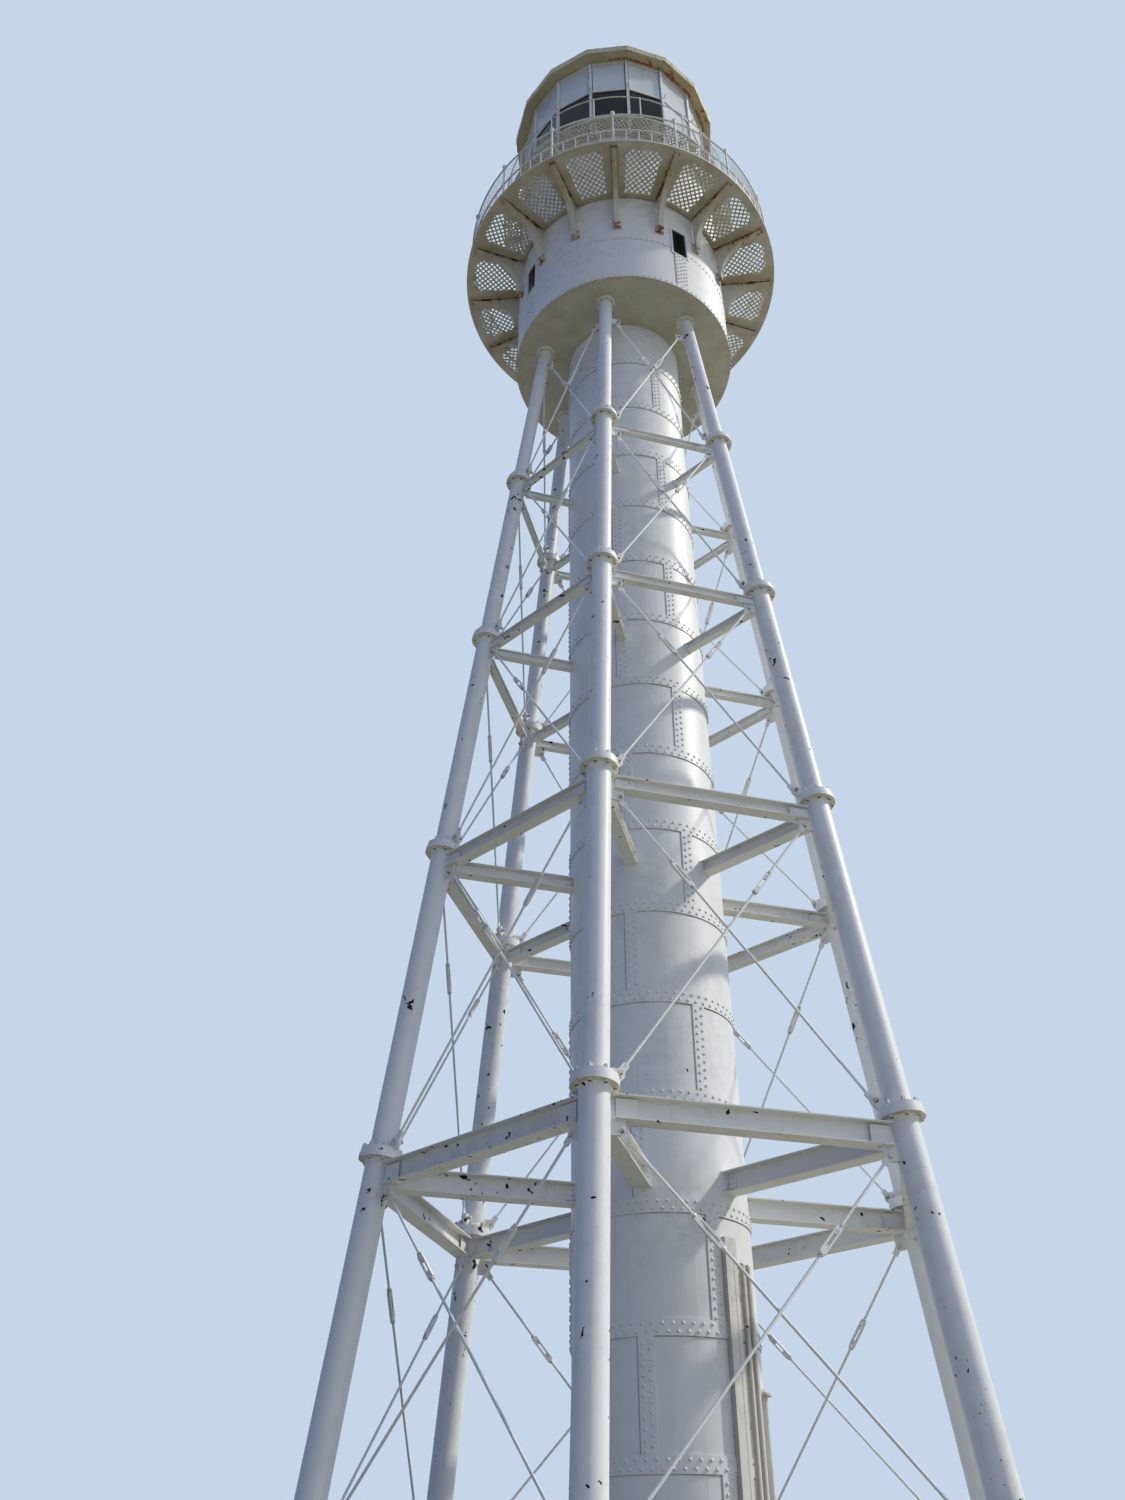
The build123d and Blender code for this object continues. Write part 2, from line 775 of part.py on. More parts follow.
def gallery_bracket():
    """Cast bracket: upright web with a hollow curved edge, a rib along that edge and a foot pad."""
    back = drum_radius + bracket_pad_thickness + fit
    heel = back + bracket_heel
    top = deck_level - fit
    tip_low = top - bracket_tip
    foot = bracket_foot
    bow = (heel + (bracket_reach - heel) * bracket_bow_out, foot + (tip_low - foot) * bracket_bow_up)
    edge = ThreePointArc((heel, foot), bow, (bracket_reach, tip_low))
    root = back - bracket_root
    border = Polyline(
        (bracket_reach, tip_low), (bracket_reach, top), (root, top), (root, foot), (heel, foot)
    )
    web = extrude(Plane.XZ * make_face(edge + border), bracket_web / 2, both=True)
    rib = extrude(Plane.XZ * offset_arc(edge, bracket_rib_thickness), bracket_rib_width / 2, both=True)
    pad = Pos(drum_radius, 0, foot - bracket_pad_toe) * Box(
        back - drum_radius, bracket_pad_width, bracket_pad_height,
        align=(Align.MIN, Align.CENTER, Align.MIN),
    )
    cap = Pos(root, 0, top) * Box(
        bracket_reach - root, bracket_rib_width, bracket_cap_thickness,
        align=(Align.MIN, Align.CENTER, Align.MAX),
    )
    drum = Pos(0, 0, foot - bracket_pad_height) * round_bar(drum_radius + fit, top)
    return Rot(Z=-90) * (web.fuse(rib, pad, cap) - drum)


def lattice_field(low, high):
    """Field of one floor plate that is lattice, with its outer corners clipped."""
    outer = deck_radius - lattice_border
    spread = sin(radians(lattice_half_angle))
    x_in, x_out, clip = lattice_inner * spread, outer * spread, lattice_clip
    outline = Polyline(
        (-x_in, -lattice_inner), (x_in, -lattice_inner), (x_out, clip - outer), (x_out - clip, -outer),
        (clip - x_out, -outer), (-x_out, clip - outer), close=True,
    )
    return Pos(0, 0, low) * extrude(make_face(outline), high - low)


def deck_plate():
    """One of sixteen floor plates, its lattice field thinner than its borders."""
    bay = 180 / gallery_count
    plate = bands(drum_radius - deck_bearing, deck_radius, deck_level, floor_top, -bay, bay, 1)[0]
    recess = (deck_thickness - lattice_thickness) / 2
    plate -= lattice_field(deck_level - 1, deck_level + recess)
    return plate - lattice_field(floor_top - recess, floor_top + 1)


def lantern_floor():
    """Floor of the lantern base in sectors, round the stair opening at its centre."""
    rim = drum_radius - deck_bearing - fit
    return bands(stair_opening / 2, rim, deck_level, floor_top, 0, 360, drum_segments)


def gallery_post():
    """Cast stanchion with base, tapered shaft, rail bosses and ball top."""
    radius = post_diameter / 2
    base = post_base_diameter / 2
    neck = post_height - ball_diameter / 2
    foot = post_foot_diameter / 2
    outline = [(0, 0), (base, 0), (base, post_base_thickness), (foot, 2 * post_base_thickness)]
    outline += [(radius, post_base_thickness + post_foot_height), (post_neck_diameter / 2, neck), (0, neck)]
    boss = round_bar(radius + boss_overhang, 2 * rail_diameter)
    bosses = [Pos(0, 0, height - rail_diameter) * boss for height in (mid_rail_height, top_rail_height)]
    post = turned(outline).fuse(*bosses, Pos(0, 0, post_height) * Sphere(ball_diameter / 2))
    return Pos(0, -post_circle, floor_top) * post


def arc_bar(circle, height, diameter, start, end):
    """Round bar bent about the tower axis."""
    section = Plane.XZ * Pos(circle, height) * Circle(diameter / 2)
    return Rot(Z=start - 90) * revolve(section, Axis.Z, revolution_arc=end - start)


def gallery_rails():
    """Top rails, and middle rails with their pickets, between neighbouring posts."""
    step = 360 / gallery_count
    edge = width_angle(post_diameter + 2 * boss_overhang + 2 * fit, post_circle)
    picket = Pos(0, -post_circle, floor_top) * Box(
        picket_width, picket_thickness, mid_rail_height, align=(Align.CENTER, Align.CENTER, Align.MIN)
    )
    pickets = [around(picket, step * (p + 1) / (picket_count + 1)) for p in range(picket_count)]
    top_rail = arc_bar(post_circle, floor_top + top_rail_height, rail_diameter, edge, step - edge)
    mid_rail = arc_bar(post_circle, floor_top + mid_rail_height, rail_diameter, edge, step - edge)
    bays = every(top_rail, gallery_count, step / 2)
    return bays + every(mid_rail.fuse(*pickets), gallery_count, step / 2)


# Lantern


def lantern_base():
    """Round wall under the glazing, with the doorway to the gallery, its leaf and its frame."""
    outer, inner = drum_radius, drum_radius - base_wall
    half = width_angle(gallery_door_width, outer)
    left, right = gallery_door_azimuth - half, gallery_door_azimuth + half
    head = floor_top + gallery_door_height
    walls = bands(inner, outer, floor_top, catwalk_top, right, left + 360, drum_segments)
    walls += bands(inner, outer, head, catwalk_top, left, right, 1)
    play = degrees(fit / outer)
    leaf = band(inner, outer, floor_top + fit, head - fit, left + play, right - play)
    frame = frame_round(
        gallery_door_azimuth, half, floor_top, head, outer + fit,
        outer + fit + gallery_door_frame_depth, gallery_door_frame_width,
    )
    over_floor = Pos(0, 0, floor_top) * round_bar(deck_radius, 2 * gallery_door_height)
    return walls, leaf, frame & over_floor


def catwalk():
    """Narrow walk outside the glazing: floor plates, wall brackets, posts and rail."""
    inner = drum_radius + fit
    plates = bands(inner, catwalk_radius, catwalk_level, catwalk_top, 0, 360, gallery_count)
    top = catwalk_level - fit
    foot = top - catwalk_bracket_drop
    tip = catwalk_radius - catwalk_bracket_toe
    outline = Polyline(
        (drum_radius / 2, top), (tip, top), (tip, top - catwalk_bracket_toe),
        (inner + catwalk_bracket_toe, foot), (drum_radius / 2, foot), close=True,
    )
    bracket = extrude(Plane.XZ * make_face(outline), catwalk_bracket_thickness / 2, both=True)
    wall = Pos(0, 0, foot - catwalk_bracket_drop) * round_bar(inner, 3 * catwalk_bracket_drop)
    bracket = Rot(Z=-90) * (bracket - wall)
    post = Pos(0, -catwalk_post_circle, catwalk_top) * round_bar(
        catwalk_post_diameter / 2, catwalk_rail_height
    )
    edge = width_angle(catwalk_post_diameter + 2 * fit, catwalk_post_circle)
    height = catwalk_top + catwalk_rail_height - catwalk_rail_diameter
    rail = arc_bar(catwalk_post_circle, height, catwalk_rail_diameter, edge, 360 / gallery_count - edge)
    brackets = every(bracket, gallery_count, catwalk_post_turn)
    railing = every(post, gallery_count, catwalk_post_turn) + every(rail, gallery_count, catwalk_post_turn)
    return plates, brackets, railing


half_side = radians(180 / gallery_count)
glazing_low = catwalk_top + fit
bar_trim = mullion_width / 2 + mullion_depth * sin(half_side) + fit


def side_bar(inner, outer, low, high, trim=fit):
    """Straight bar of the lantern side towards -Y, between two corner radii, trimmed at its ends."""
    outline = []
    for radius, side in ((outer, -1), (outer, 1), (inner, 1), (inner, -1)):
        outline.append((side * (radius * sin(half_side) - trim), -radius * cos(half_side)))
    return Pos(0, 0, low) * extrude(make_face(Polyline(*outline, close=True)), high - low)


def each_side(piece):
    """Copies of a piece on all lantern sides, the first one after corner 0."""
    return every(piece, gallery_count, 180 / gallery_count)


def lantern_frame():
    """Corner mullions, with sill, transoms and head bars between them."""
    mullion = Pos(0, -lantern_radius, glazing_low) * Box(
        mullion_width, mullion_depth, glazing_top - glazing_low, align=(Align.CENTER, Align.MIN, Align.MIN)
    )
    outer = lantern_radius - bar_face_inset
    bars = []
    for low, high in (
        (glazing_low, glazing_low + sill_height),
        (transom_level - transom_height / 2, transom_level + transom_height / 2),
        (glazing_top - sill_height, glazing_top),
    ):
        bars += each_side(side_bar(outer - bar_depth, outer, low, high, bar_trim))
    return every(mullion, gallery_count), bars


def lantern_infill():
    """Glass of the lower tier, and sheet panels of the upper tier and of the closed bays."""
    face = lantern_radius - pane_inset
    low = glazing_low + sill_height + fit
    middle_low = transom_level - transom_height / 2 - fit
    middle_high = transom_level + transom_height / 2 + fit
    high = glazing_top - sill_height - fit
    lower = each_side(side_bar(face - pane_thickness, face, low, middle_low, bar_trim))
    upper = each_side(side_bar(face - blank_thickness, face, middle_high, high, bar_trim))
    closed = range(blank_first, blank_first + blank_bays)
    panes = [piece for k, piece in enumerate(lower) if k not in closed]
    return panes, upper + [lower[k] for k in closed]


# Eave, roof and ventilator


def eave():
    """Gutter round the lantern head: floor, front and back walls of one mitred length a side."""
    low = glazing_top + fit
    back = eave_radius - gutter_width
    floor = side_bar(lantern_radius - mullion_depth, eave_radius, low, low + gutter_wall)
    front_wall = side_bar(eave_radius - gutter_wall, eave_radius, low, low + gutter_depth)
    back_wall = side_bar(back, back + gutter_wall, low, low + gutter_depth * gutter_back_share)
    return each_side(floor.fuse(front_wall, back_wall))


def roof():
    """Sixteen flat sheet panels from the gutter to the ventilator curb, mitred at the hips."""
    low = glazing_top + fit + gutter_wall + fit
    foot = (eave_radius - gutter_width - fit) * cos(half_side)
    head = roof_top_radius * cos(half_side)
    across = roof_sheet / sin(atan2(roof_top - low, foot - head))
    outline = [(foot, low), (head, roof_top), (head - across, roof_top), (foot - across, low)]
    slope = extrude(Plane.XZ * make_face(Polyline(*outline, close=True)), eave_radius, both=True)
    tip = -fit / sin(half_side)
    far = tip - eave_radius * cos(half_side)
    spread = eave_radius * sin(half_side)
    wedge = make_face(Polyline((0, tip), (-spread, far), (spread, far), close=True))
    return each_side(Rot(Z=-90) * slope & Pos(0, 0, low) * extrude(wedge, roof_top - low))


def ventilator():
    """Curb, neck, ball and finial over the roof."""
    curb_top = roof_top + vent_curb_height
    neck_top = roof_top + vent_neck_height
    base = roof_top + fit
    outline = [(0, base), (roof_top_radius, base), (roof_top_radius, base + vent_curb_rim)]
    outline += [(vent_neck_radius, curb_top), (vent_neck_radius, neck_top), (0, neck_top)]
    ball = neck_top + vent_ball_radius * (1 - vent_ball_sink)
    spike_foot = ball + vent_ball_radius - finial_sink
    spike = Pos(0, 0, spike_foot) * cone(finial_foot_radius, finial_top_radius, finial_height)
    return turned(outline).fuse(Pos(0, 0, ball) * Sphere(vent_ball_radius), spike)


def build_tower():
    """Columns, bracing and stair tube."""
    save("foot_castings", every(foot_casting(), column_count))
    for tier in range(len(tier_seats)):
        save(f"columns_tier_{tier + 1}", every(column_piece(tier), column_count))
    for level in range(len(ring_levels)):
        save(f"ring_girders_{level + 1}", every(ring_girder(level), column_count))
        save(f"radial_struts_{level + 1}", every(radial_strut(level), column_count))
    for panel in range(len(tier_seats)):
        rods = every(tie_rod(panel, -1), column_count) + every(tie_rod(panel, 1), column_count)
        save(f"tie_rods_{panel + 1}", rods)
    save("tube_wall_lower", lower_tube_wall())
    save("tube_wall_middle", upper_tube_wall(tube_split_lower, tube_split_upper))
    save("tube_wall_upper", upper_tube_wall(tube_split_upper, soffit_level))
    save("tube_straps", tube_straps())
    frame, leaf = door_set()
    save("entry_door_frame", [frame])
    save("entry_door", [leaf])
    save("service_pipes", service_pipes())


def build_drum_and_gallery():
    """Watch room and gallery, turned together."""
    frames, panes = drum_windows()
    lower_course, upper_course = drum_walls()
    floor_upper = soffit_level + floor_thickness
    floor = bands(
        tube_radius - tube_wall, drum_radius, soffit_level, floor_upper, 0, 360, drum_segments
    )
    half_bay = 180 / gallery_count
    for name, pieces in (
        ("watch_room_floor", floor),
        ("drum_wall_lower", lower_course),
        ("drum_wall_upper", upper_course),
        ("drum_straps", drum_straps()),
        ("drum_window_frames", frames),
        ("drum_window_panes", panes),
        ("drum_head_ring", head_ring()),
        ("gallery_brackets", every(gallery_bracket(), gallery_count, half_bay)),
        ("gallery_deck", every(deck_plate(), gallery_count)),
        ("lantern_floor", lantern_floor()),
        ("gallery_posts", every(gallery_post(), gallery_count, half_bay)),
        ("gallery_rails", gallery_rails()),
    ):
        save(name, turned_by(head_turn, pieces))


def build_lantern():
    """Lantern, catwalk, eave and roof, turned together."""
    walls, door, door_frame = lantern_base()
    plates, brackets, railing = catwalk()
    mullions, bars = lantern_frame()
    glass, sheets = lantern_infill()
    for name, pieces in (
        ("lantern_base_wall", walls),
        ("gallery_door", [door]),
        ("gallery_door_frame", [door_frame]),
        ("catwalk_deck", plates),
        ("catwalk_brackets", brackets),
        ("catwalk_rail", railing),
        ("lantern_mullions", mullions),
        ("lantern_bars", bars),
        ("lantern_glass", glass),
        ("lantern_blanks", sheets),
        ("lantern_gutter", eave()),
        ("lantern_roof", roof()),
        ("ventilator", [ventilator()]),
    ):
        save(name, turned_by(lantern_turn, pieces))


os.makedirs("parts", exist_ok=True)
build_tower()
build_drum_and_gallery()
build_lantern()
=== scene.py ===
# %% [markdown]
# # An iron skeleton lighthouse
#
# Six raking cast columns stand round a riveted stair tube and carry a watch-room drum, a lattice
# gallery and a lantern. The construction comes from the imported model. This notebook gives it the
# look of a painted seaside tower: rivets, bolts, lattice floors, wire mesh, paint, chips and rust.
# Sizes are in metres, with +Z up and the tower's axis at x = y = 0.

# %% Load the frame
from functools import partial
from math import cos, pi, radians, sin, tan

import bpy
import numpy as np
from mathutils import Matrix, Vector


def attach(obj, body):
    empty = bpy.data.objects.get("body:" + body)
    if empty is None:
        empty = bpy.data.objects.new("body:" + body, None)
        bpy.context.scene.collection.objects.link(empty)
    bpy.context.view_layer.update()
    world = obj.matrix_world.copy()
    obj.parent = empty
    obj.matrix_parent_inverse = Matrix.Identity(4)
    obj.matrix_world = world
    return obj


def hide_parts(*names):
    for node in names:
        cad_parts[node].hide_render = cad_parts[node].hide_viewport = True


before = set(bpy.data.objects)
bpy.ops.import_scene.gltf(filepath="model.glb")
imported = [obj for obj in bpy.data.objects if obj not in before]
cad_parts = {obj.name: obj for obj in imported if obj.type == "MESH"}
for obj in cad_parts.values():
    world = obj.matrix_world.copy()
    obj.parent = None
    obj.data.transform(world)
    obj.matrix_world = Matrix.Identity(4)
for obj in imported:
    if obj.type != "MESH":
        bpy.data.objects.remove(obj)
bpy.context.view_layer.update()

# %% [markdown]
# ## The viewpoint
#
# The picture was taken from the ground close to the tower, looking up. A camera is where it stands
# (azimuth, distance, height), where it looks (a turn away from the axis, a tilt, a small roll), and
# its lens, given here for an upright frame, so the sensor fits its height.

# %% The camera
IMAGE_HEIGHT = 1500
SENSOR_HEIGHT = 36.0
eye_azimuth = radians(10.015)
eye_distance = 14.0038
eye_height = 0.2954
look_turn = radians(-4.4422)
look_tilt = radians(35.8205)
look_roll = radians(0.1484)
focal_pixels = 1222.80


def compass(azimuth, radius=1.0, height=0.0):
    """Point at an azimuth from -Y towards +X: (r sin a, -r cos a, height)."""
    return Vector((radius * sin(azimuth), -radius * cos(azimuth), height))


def add_camera():
    """Camera whose forward axis is the line to the tower's axis, turned, tilted and rolled."""
    data = bpy.data.cameras.new("view")
    data.sensor_fit = "VERTICAL"
    data.sensor_height = SENSOR_HEIGHT
    data.lens = focal_pixels * SENSOR_HEIGHT / IMAGE_HEIGHT
    data.clip_end = 500
    camera = bpy.data.objects.new("view", data)
    bpy.context.scene.collection.objects.link(camera)
    heading = eye_azimuth - look_turn
    forward = -compass(heading) * cos(look_tilt) + Vector((0, 0, sin(look_tilt)))
    turn = forward.to_track_quat("-Z", "Y").to_matrix() @ Matrix.Rotation(look_roll, 3, "Z")
    stand = Matrix.Translation(compass(eye_azimuth, eye_distance, eye_height))
    camera.matrix_world = stand @ turn.to_4x4()
    bpy.context.scene.camera = camera
    return camera


camera = add_camera()
print("camera at", [round(v, 3) for v in camera.matrix_world.translation])

# %% [markdown]
# ## Colours and the node helper
#
# Colours are written as sRGB hex, but the renderer mixes light in linear values, so one function
# turns them over. Another adds a shader node, sets it and links it in a single line, which keeps
# each recipe below readable from top to bottom.

# %% Colour and node helpers
scene = bpy.context.scene
scene.view_settings.view_transform = "Standard"


def colour(code):
    """Linear colour of an sRGB hex code: c / 12.92 below 0.04045, else
    ((c + 0.055) / 1.055) ** 2.4."""
    channels = [int(code[k:k + 2], 16) / 255 for k in (1, 3, 5)]
    return (*[c / 12.92 if c <= 0.04045 else ((c + 0.055) / 1.055) ** 2.4 for c in channels], 1.0)


def feed(tree, node, inputs):
    """Link or set a node's inputs: a list in socket order, with None to skip one, or a dictionary
    by name or place. A Map Range takes value, from min, from max, to min, to max, and a Noise
    Texture vector, W, scale, detail, roughness."""
    for place, value in inputs.items() if isinstance(inputs, dict) else enumerate(inputs):
        if isinstance(value, bpy.types.NodeSocket):
            tree.links.new(value, node.inputs[place])
        elif value is not None:
            node.inputs[place].default_value = value


def add(tree, kind, inputs=(), out=0, **settings):
    """Add a shader node, set its properties, feed its inputs, and give back one output. A second
    word of the kind, as in "Math ADD", is its operation."""
    kind, *operation = kind.split()
    node = tree.nodes.new("ShaderNode" + kind)
    if operation:
        node.operation = operation[0]
    for key, value in settings.items():
        setattr(node, key, value)
    feed(tree, node, inputs)
    return node.outputs[out]


def new_material(name):
    """A material, its node tree, the adder bound to that tree, and its main shader."""
    material = bpy.data.materials.new(name)
    material.use_nodes = True
    tree = material.node_tree
    return material, tree, partial(add, tree), tree.nodes["Principled BSDF"]


print("pure white is", colour("#FFFFFF")[:3])

# %% [markdown]
# ## Stage and light
#
# One broad warm-white lamp stands on the right, forty degrees up, and a surround fills the shade as
# a clear sky does: deep blue on the left, paler towards the lamp. What the camera, glass and gloss
# see of floor and surround is paler than what lights the object, by way of Light Path, so the
# backdrop never adds light. The floor's own light is warm and turns the undersides cream.

# %% Floor, key lamp and surround
FLOOR_RADIUS, FLOOR_SIDES = 160.0, 96
KEY_AZIMUTH, KEY_HEIGHT, KEY_WIDTH, KEY_POWER = 107, 40, 3, 2.3
BACKDROP = colour("#C6D6E8")
SKY_LEFT, SKY_RIGHT = colour("#184484"), colour("#DEE4EE")
FLOOR_SHOWN, FLOOR_LIGHT = colour("#F5F3E6"), colour("#A3A295")


def add_key():
    """Sun lamp, a few degrees wide, whose beam comes down from an azimuth and a height."""
    sun = bpy.data.lights.new("key", "SUN")
    sun.energy = KEY_POWER
    sun.angle = radians(KEY_WIDTH)
    sun.color = colour("#FFF8EC")[:3]
    key = bpy.data.objects.new("key", sun)
    scene.collection.objects.link(key)
    height = radians(KEY_HEIGHT)
    beam = compass(radians(KEY_AZIMUTH), cos(height), sin(height))
    key.matrix_world = beam.to_track_quat("Z", "Y").to_matrix().to_4x4()


def seen_rays(tree):
    """1 for rays of the camera, of gloss and of glass, 0 for those that carry light."""
    rays = ("Camera", "Glossy", "Transmission")
    camera_ray, gloss, through = [add(tree, "LightPath", out=f"Is {ray} Ray") for ray in rays]
    seen = add(tree, "Math MAXIMUM", [camera_ray, gloss])
    return add(tree, "Math MAXIMUM", [seen, through])


def add_surround():
    """World: one pale colour for what is seen; for the light it gives, a mix of two colours by the
    share (x + 0.25) / 1.25 of the direction."""
    world = bpy.data.worlds.new("studio")
    scene.world = world
    world.use_nodes = True
    tree = world.node_tree
    tree.nodes.clear()
    way = add(tree, "TexCoord", out="Generated")
    way = add(tree, "SeparateXYZ", [way], out="X")
    share = add(tree, "MapRange", [way, -0.25, 1.0])
    sky = add(tree, "Mix", {0: share, 6: SKY_LEFT, 7: SKY_RIGHT}, out=2, data_type="RGBA")
    fill = add(tree, "Background", [sky, 1.0])
    back = add(tree, "Background", [BACKDROP, 1.0])
    shown = add(tree, "MixShader", [seen_rays(tree), fill, back])
    feed(tree, tree.nodes.new("ShaderNodeOutputWorld"), [shown])


def add_floor():
    """Round floor at z = 0, a plain pale plaster: matt, so it shows only soft shadows."""
    turns = np.arange(FLOOR_SIDES) * 2 * pi / FLOOR_SIDES
    rim = np.stack([FLOOR_RADIUS * np.cos(turns), FLOOR_RADIUS * np.sin(turns), 0 * turns], 1)
    mesh = bpy.data.meshes.new("floor")
    mesh.from_pydata(rim, [], [list(range(FLOOR_SIDES))])
    floor = bpy.data.objects.new("floor", mesh)
    scene.collection.objects.link(floor)
    plaster, tree, put, shader = new_material("floor_plaster")
    tint = put("Mix", {0: seen_rays(tree), 6: FLOOR_LIGHT, 7: FLOOR_SHOWN}, out=2, data_type="RGBA")
    feed(tree, shader, {"Base Color": tint, "Roughness": 0.9})
    mesh.materials.append(plaster)


add_key()
add_surround()
add_floor()
print("key lamp at azimuth", KEY_AZIMUTH, "height", KEY_HEIGHT)

# %% [markdown]
# ## Oil paint on iron
#
# The tower carries many brushed coats of white lead and enamel. Close up it is never one white:
# broad patches have chalked, rain draws dull streaks, chips show the old dark primer, and where
# water stands - under flanges, at bolted joints, under beams - oxide comes through in ochre and
# brown. Each of those is a mask between 0 and 1, made from noise in object coordinates, so its
# grain is a real size: a Noise Texture of scale s has features about 1/s metres across. The masks
# mix the colours one over another, raise the roughness and dent the surface.

# %% Masks for worn paint
TIER_SEATS = [0.74, 4.41, 8.28, 11.9, 15.33, 18.83]
BEAM_AXES = [4.175, 8.045, 11.665, 15.095]
RAIN_DUST, RUST_STAIN, PRIMER = "#8C8470", "#C7A36B", "#231E20"
OXIDE_PALE, OXIDE_DARK = "#B0702A", "#5A3219"
RAIN_STRETCH = (16.0, 16.0, 0.55)
# Noise of each kind of wear: scale, detail, roughness, distortion.
WEAR_NOISE = {
    "broad": (0.9, 3.0, 0.55, 0.0), "patch": (7.0, 3.0, 0.6, 0.0), "streak": (1.0, 3.0, 0.65, 0.0),
    "stain": (2.6, 4.0, 0.6, 0.0), "bloom": (5.5, 6.0, 0.68, 0.0), "grain": (30.0, 4.0, 0.7, 0.0),
    "flake": (9.0, 2.5, 0.5, 0.4), "brush": (60.0, 2.0, 0.5, 0.0),
}


def joint_masks(put, height, levels, reach):
    """Two masks about the levels of the joints. near is 1 at a level and falls to 0 at the reach:
    1 - min |z - level| / reach. run, for stains, is 1 just under a level, faded over 4 reaches."""
    near = run = None
    for level in levels:
        apart = put("Math ABSOLUTE", [put("Math ADD", [height, -level])])
        near = apart if near is None else put("Math MINIMUM", [near, apart])
        depth = put("Math SUBTRACT", [level, height])
        below = put("Math GREATER_THAN", [depth, 0.0])
        fade = put("MapRange", [depth, 0.0, 4 * reach, 1.0, 0.0])
        fade = put("Math MULTIPLY", [fade, below])
        run = fade if run is None else put("Math MAXIMUM", [run, fade])
    return put("MapRange", [near, 0.0, reach, 1.0, 0.0]), run


def seam_lines(put, place, courses, uprights):
    """Dark lines where a plate meets the edge of its cover strap: dirt in the gap and a painted
    shadow of the strap's edge. Under the ring straps: the height less the first edge, wrapped to
    one course, is just below 0; they gain towards +x, the side the lamp lights, as painted shadow.
    Left of the upright straps: the azimuth atan2(x, -y) less the strap's edge, wrapped to the gap
    between straps, is just below 0; every other course is turned by a shift."""
    first, course = courses
    edge, gap, shift, low, high = uprights
    x, y, height = [put("SeparateXYZ", [place], out=axis) for axis in "XYZ"]
    above = put("Math ADD", [height, -first])
    under = above
    for step, number in (("ADD", course / 2), ("FLOORED_MODULO", course),
                         ("SUBTRACT", course / 2 - 0.006), ("ABSOLUTE", None)):
        under = put(f"Math {step}", [under, number])
    under = put("MapRange", [under, 0.003, 0.009, 1.0, 0.0])
    # Painted shadow: the line under each strap is darker towards +x, where the lamp shines.
    lamp_side = put("MapRange", [x, -0.1, 0.6, 0.4])
    under = put("Math MULTIPLY", [under, lamp_side])

    parity = above
    for step, number in (("DIVIDE", course), ("FLOOR", None), ("FLOORED_MODULO", 2.0)):
        parity = put(f"Math {step}", [parity, number])
    front = put("Math MULTIPLY", [y, -1.0])
    left = put("Math ARCTAN2", [x, front])
    left = put("Math MULTIPLY_ADD", [left, 180 / pi, gap / 2 - edge])
    left = put("Math MULTIPLY_ADD", [parity, -shift, left])
    for step, number in (("FLOORED_MODULO", gap), ("SUBTRACT", gap / 2 - 0.55), ("ABSOLUTE", None)):
        left = put(f"Math {step}", [left, number])
    left = put("MapRange", [left, 0.25, 0.5, 1.0, 0.0])
    for limit, step in ((low, "GREATER_THAN"), (high, "LESS_THAN")):
        within = put(f"Math {step}", [height, limit])
        left = put("Math MULTIPLY", [left, within])
    return under, left


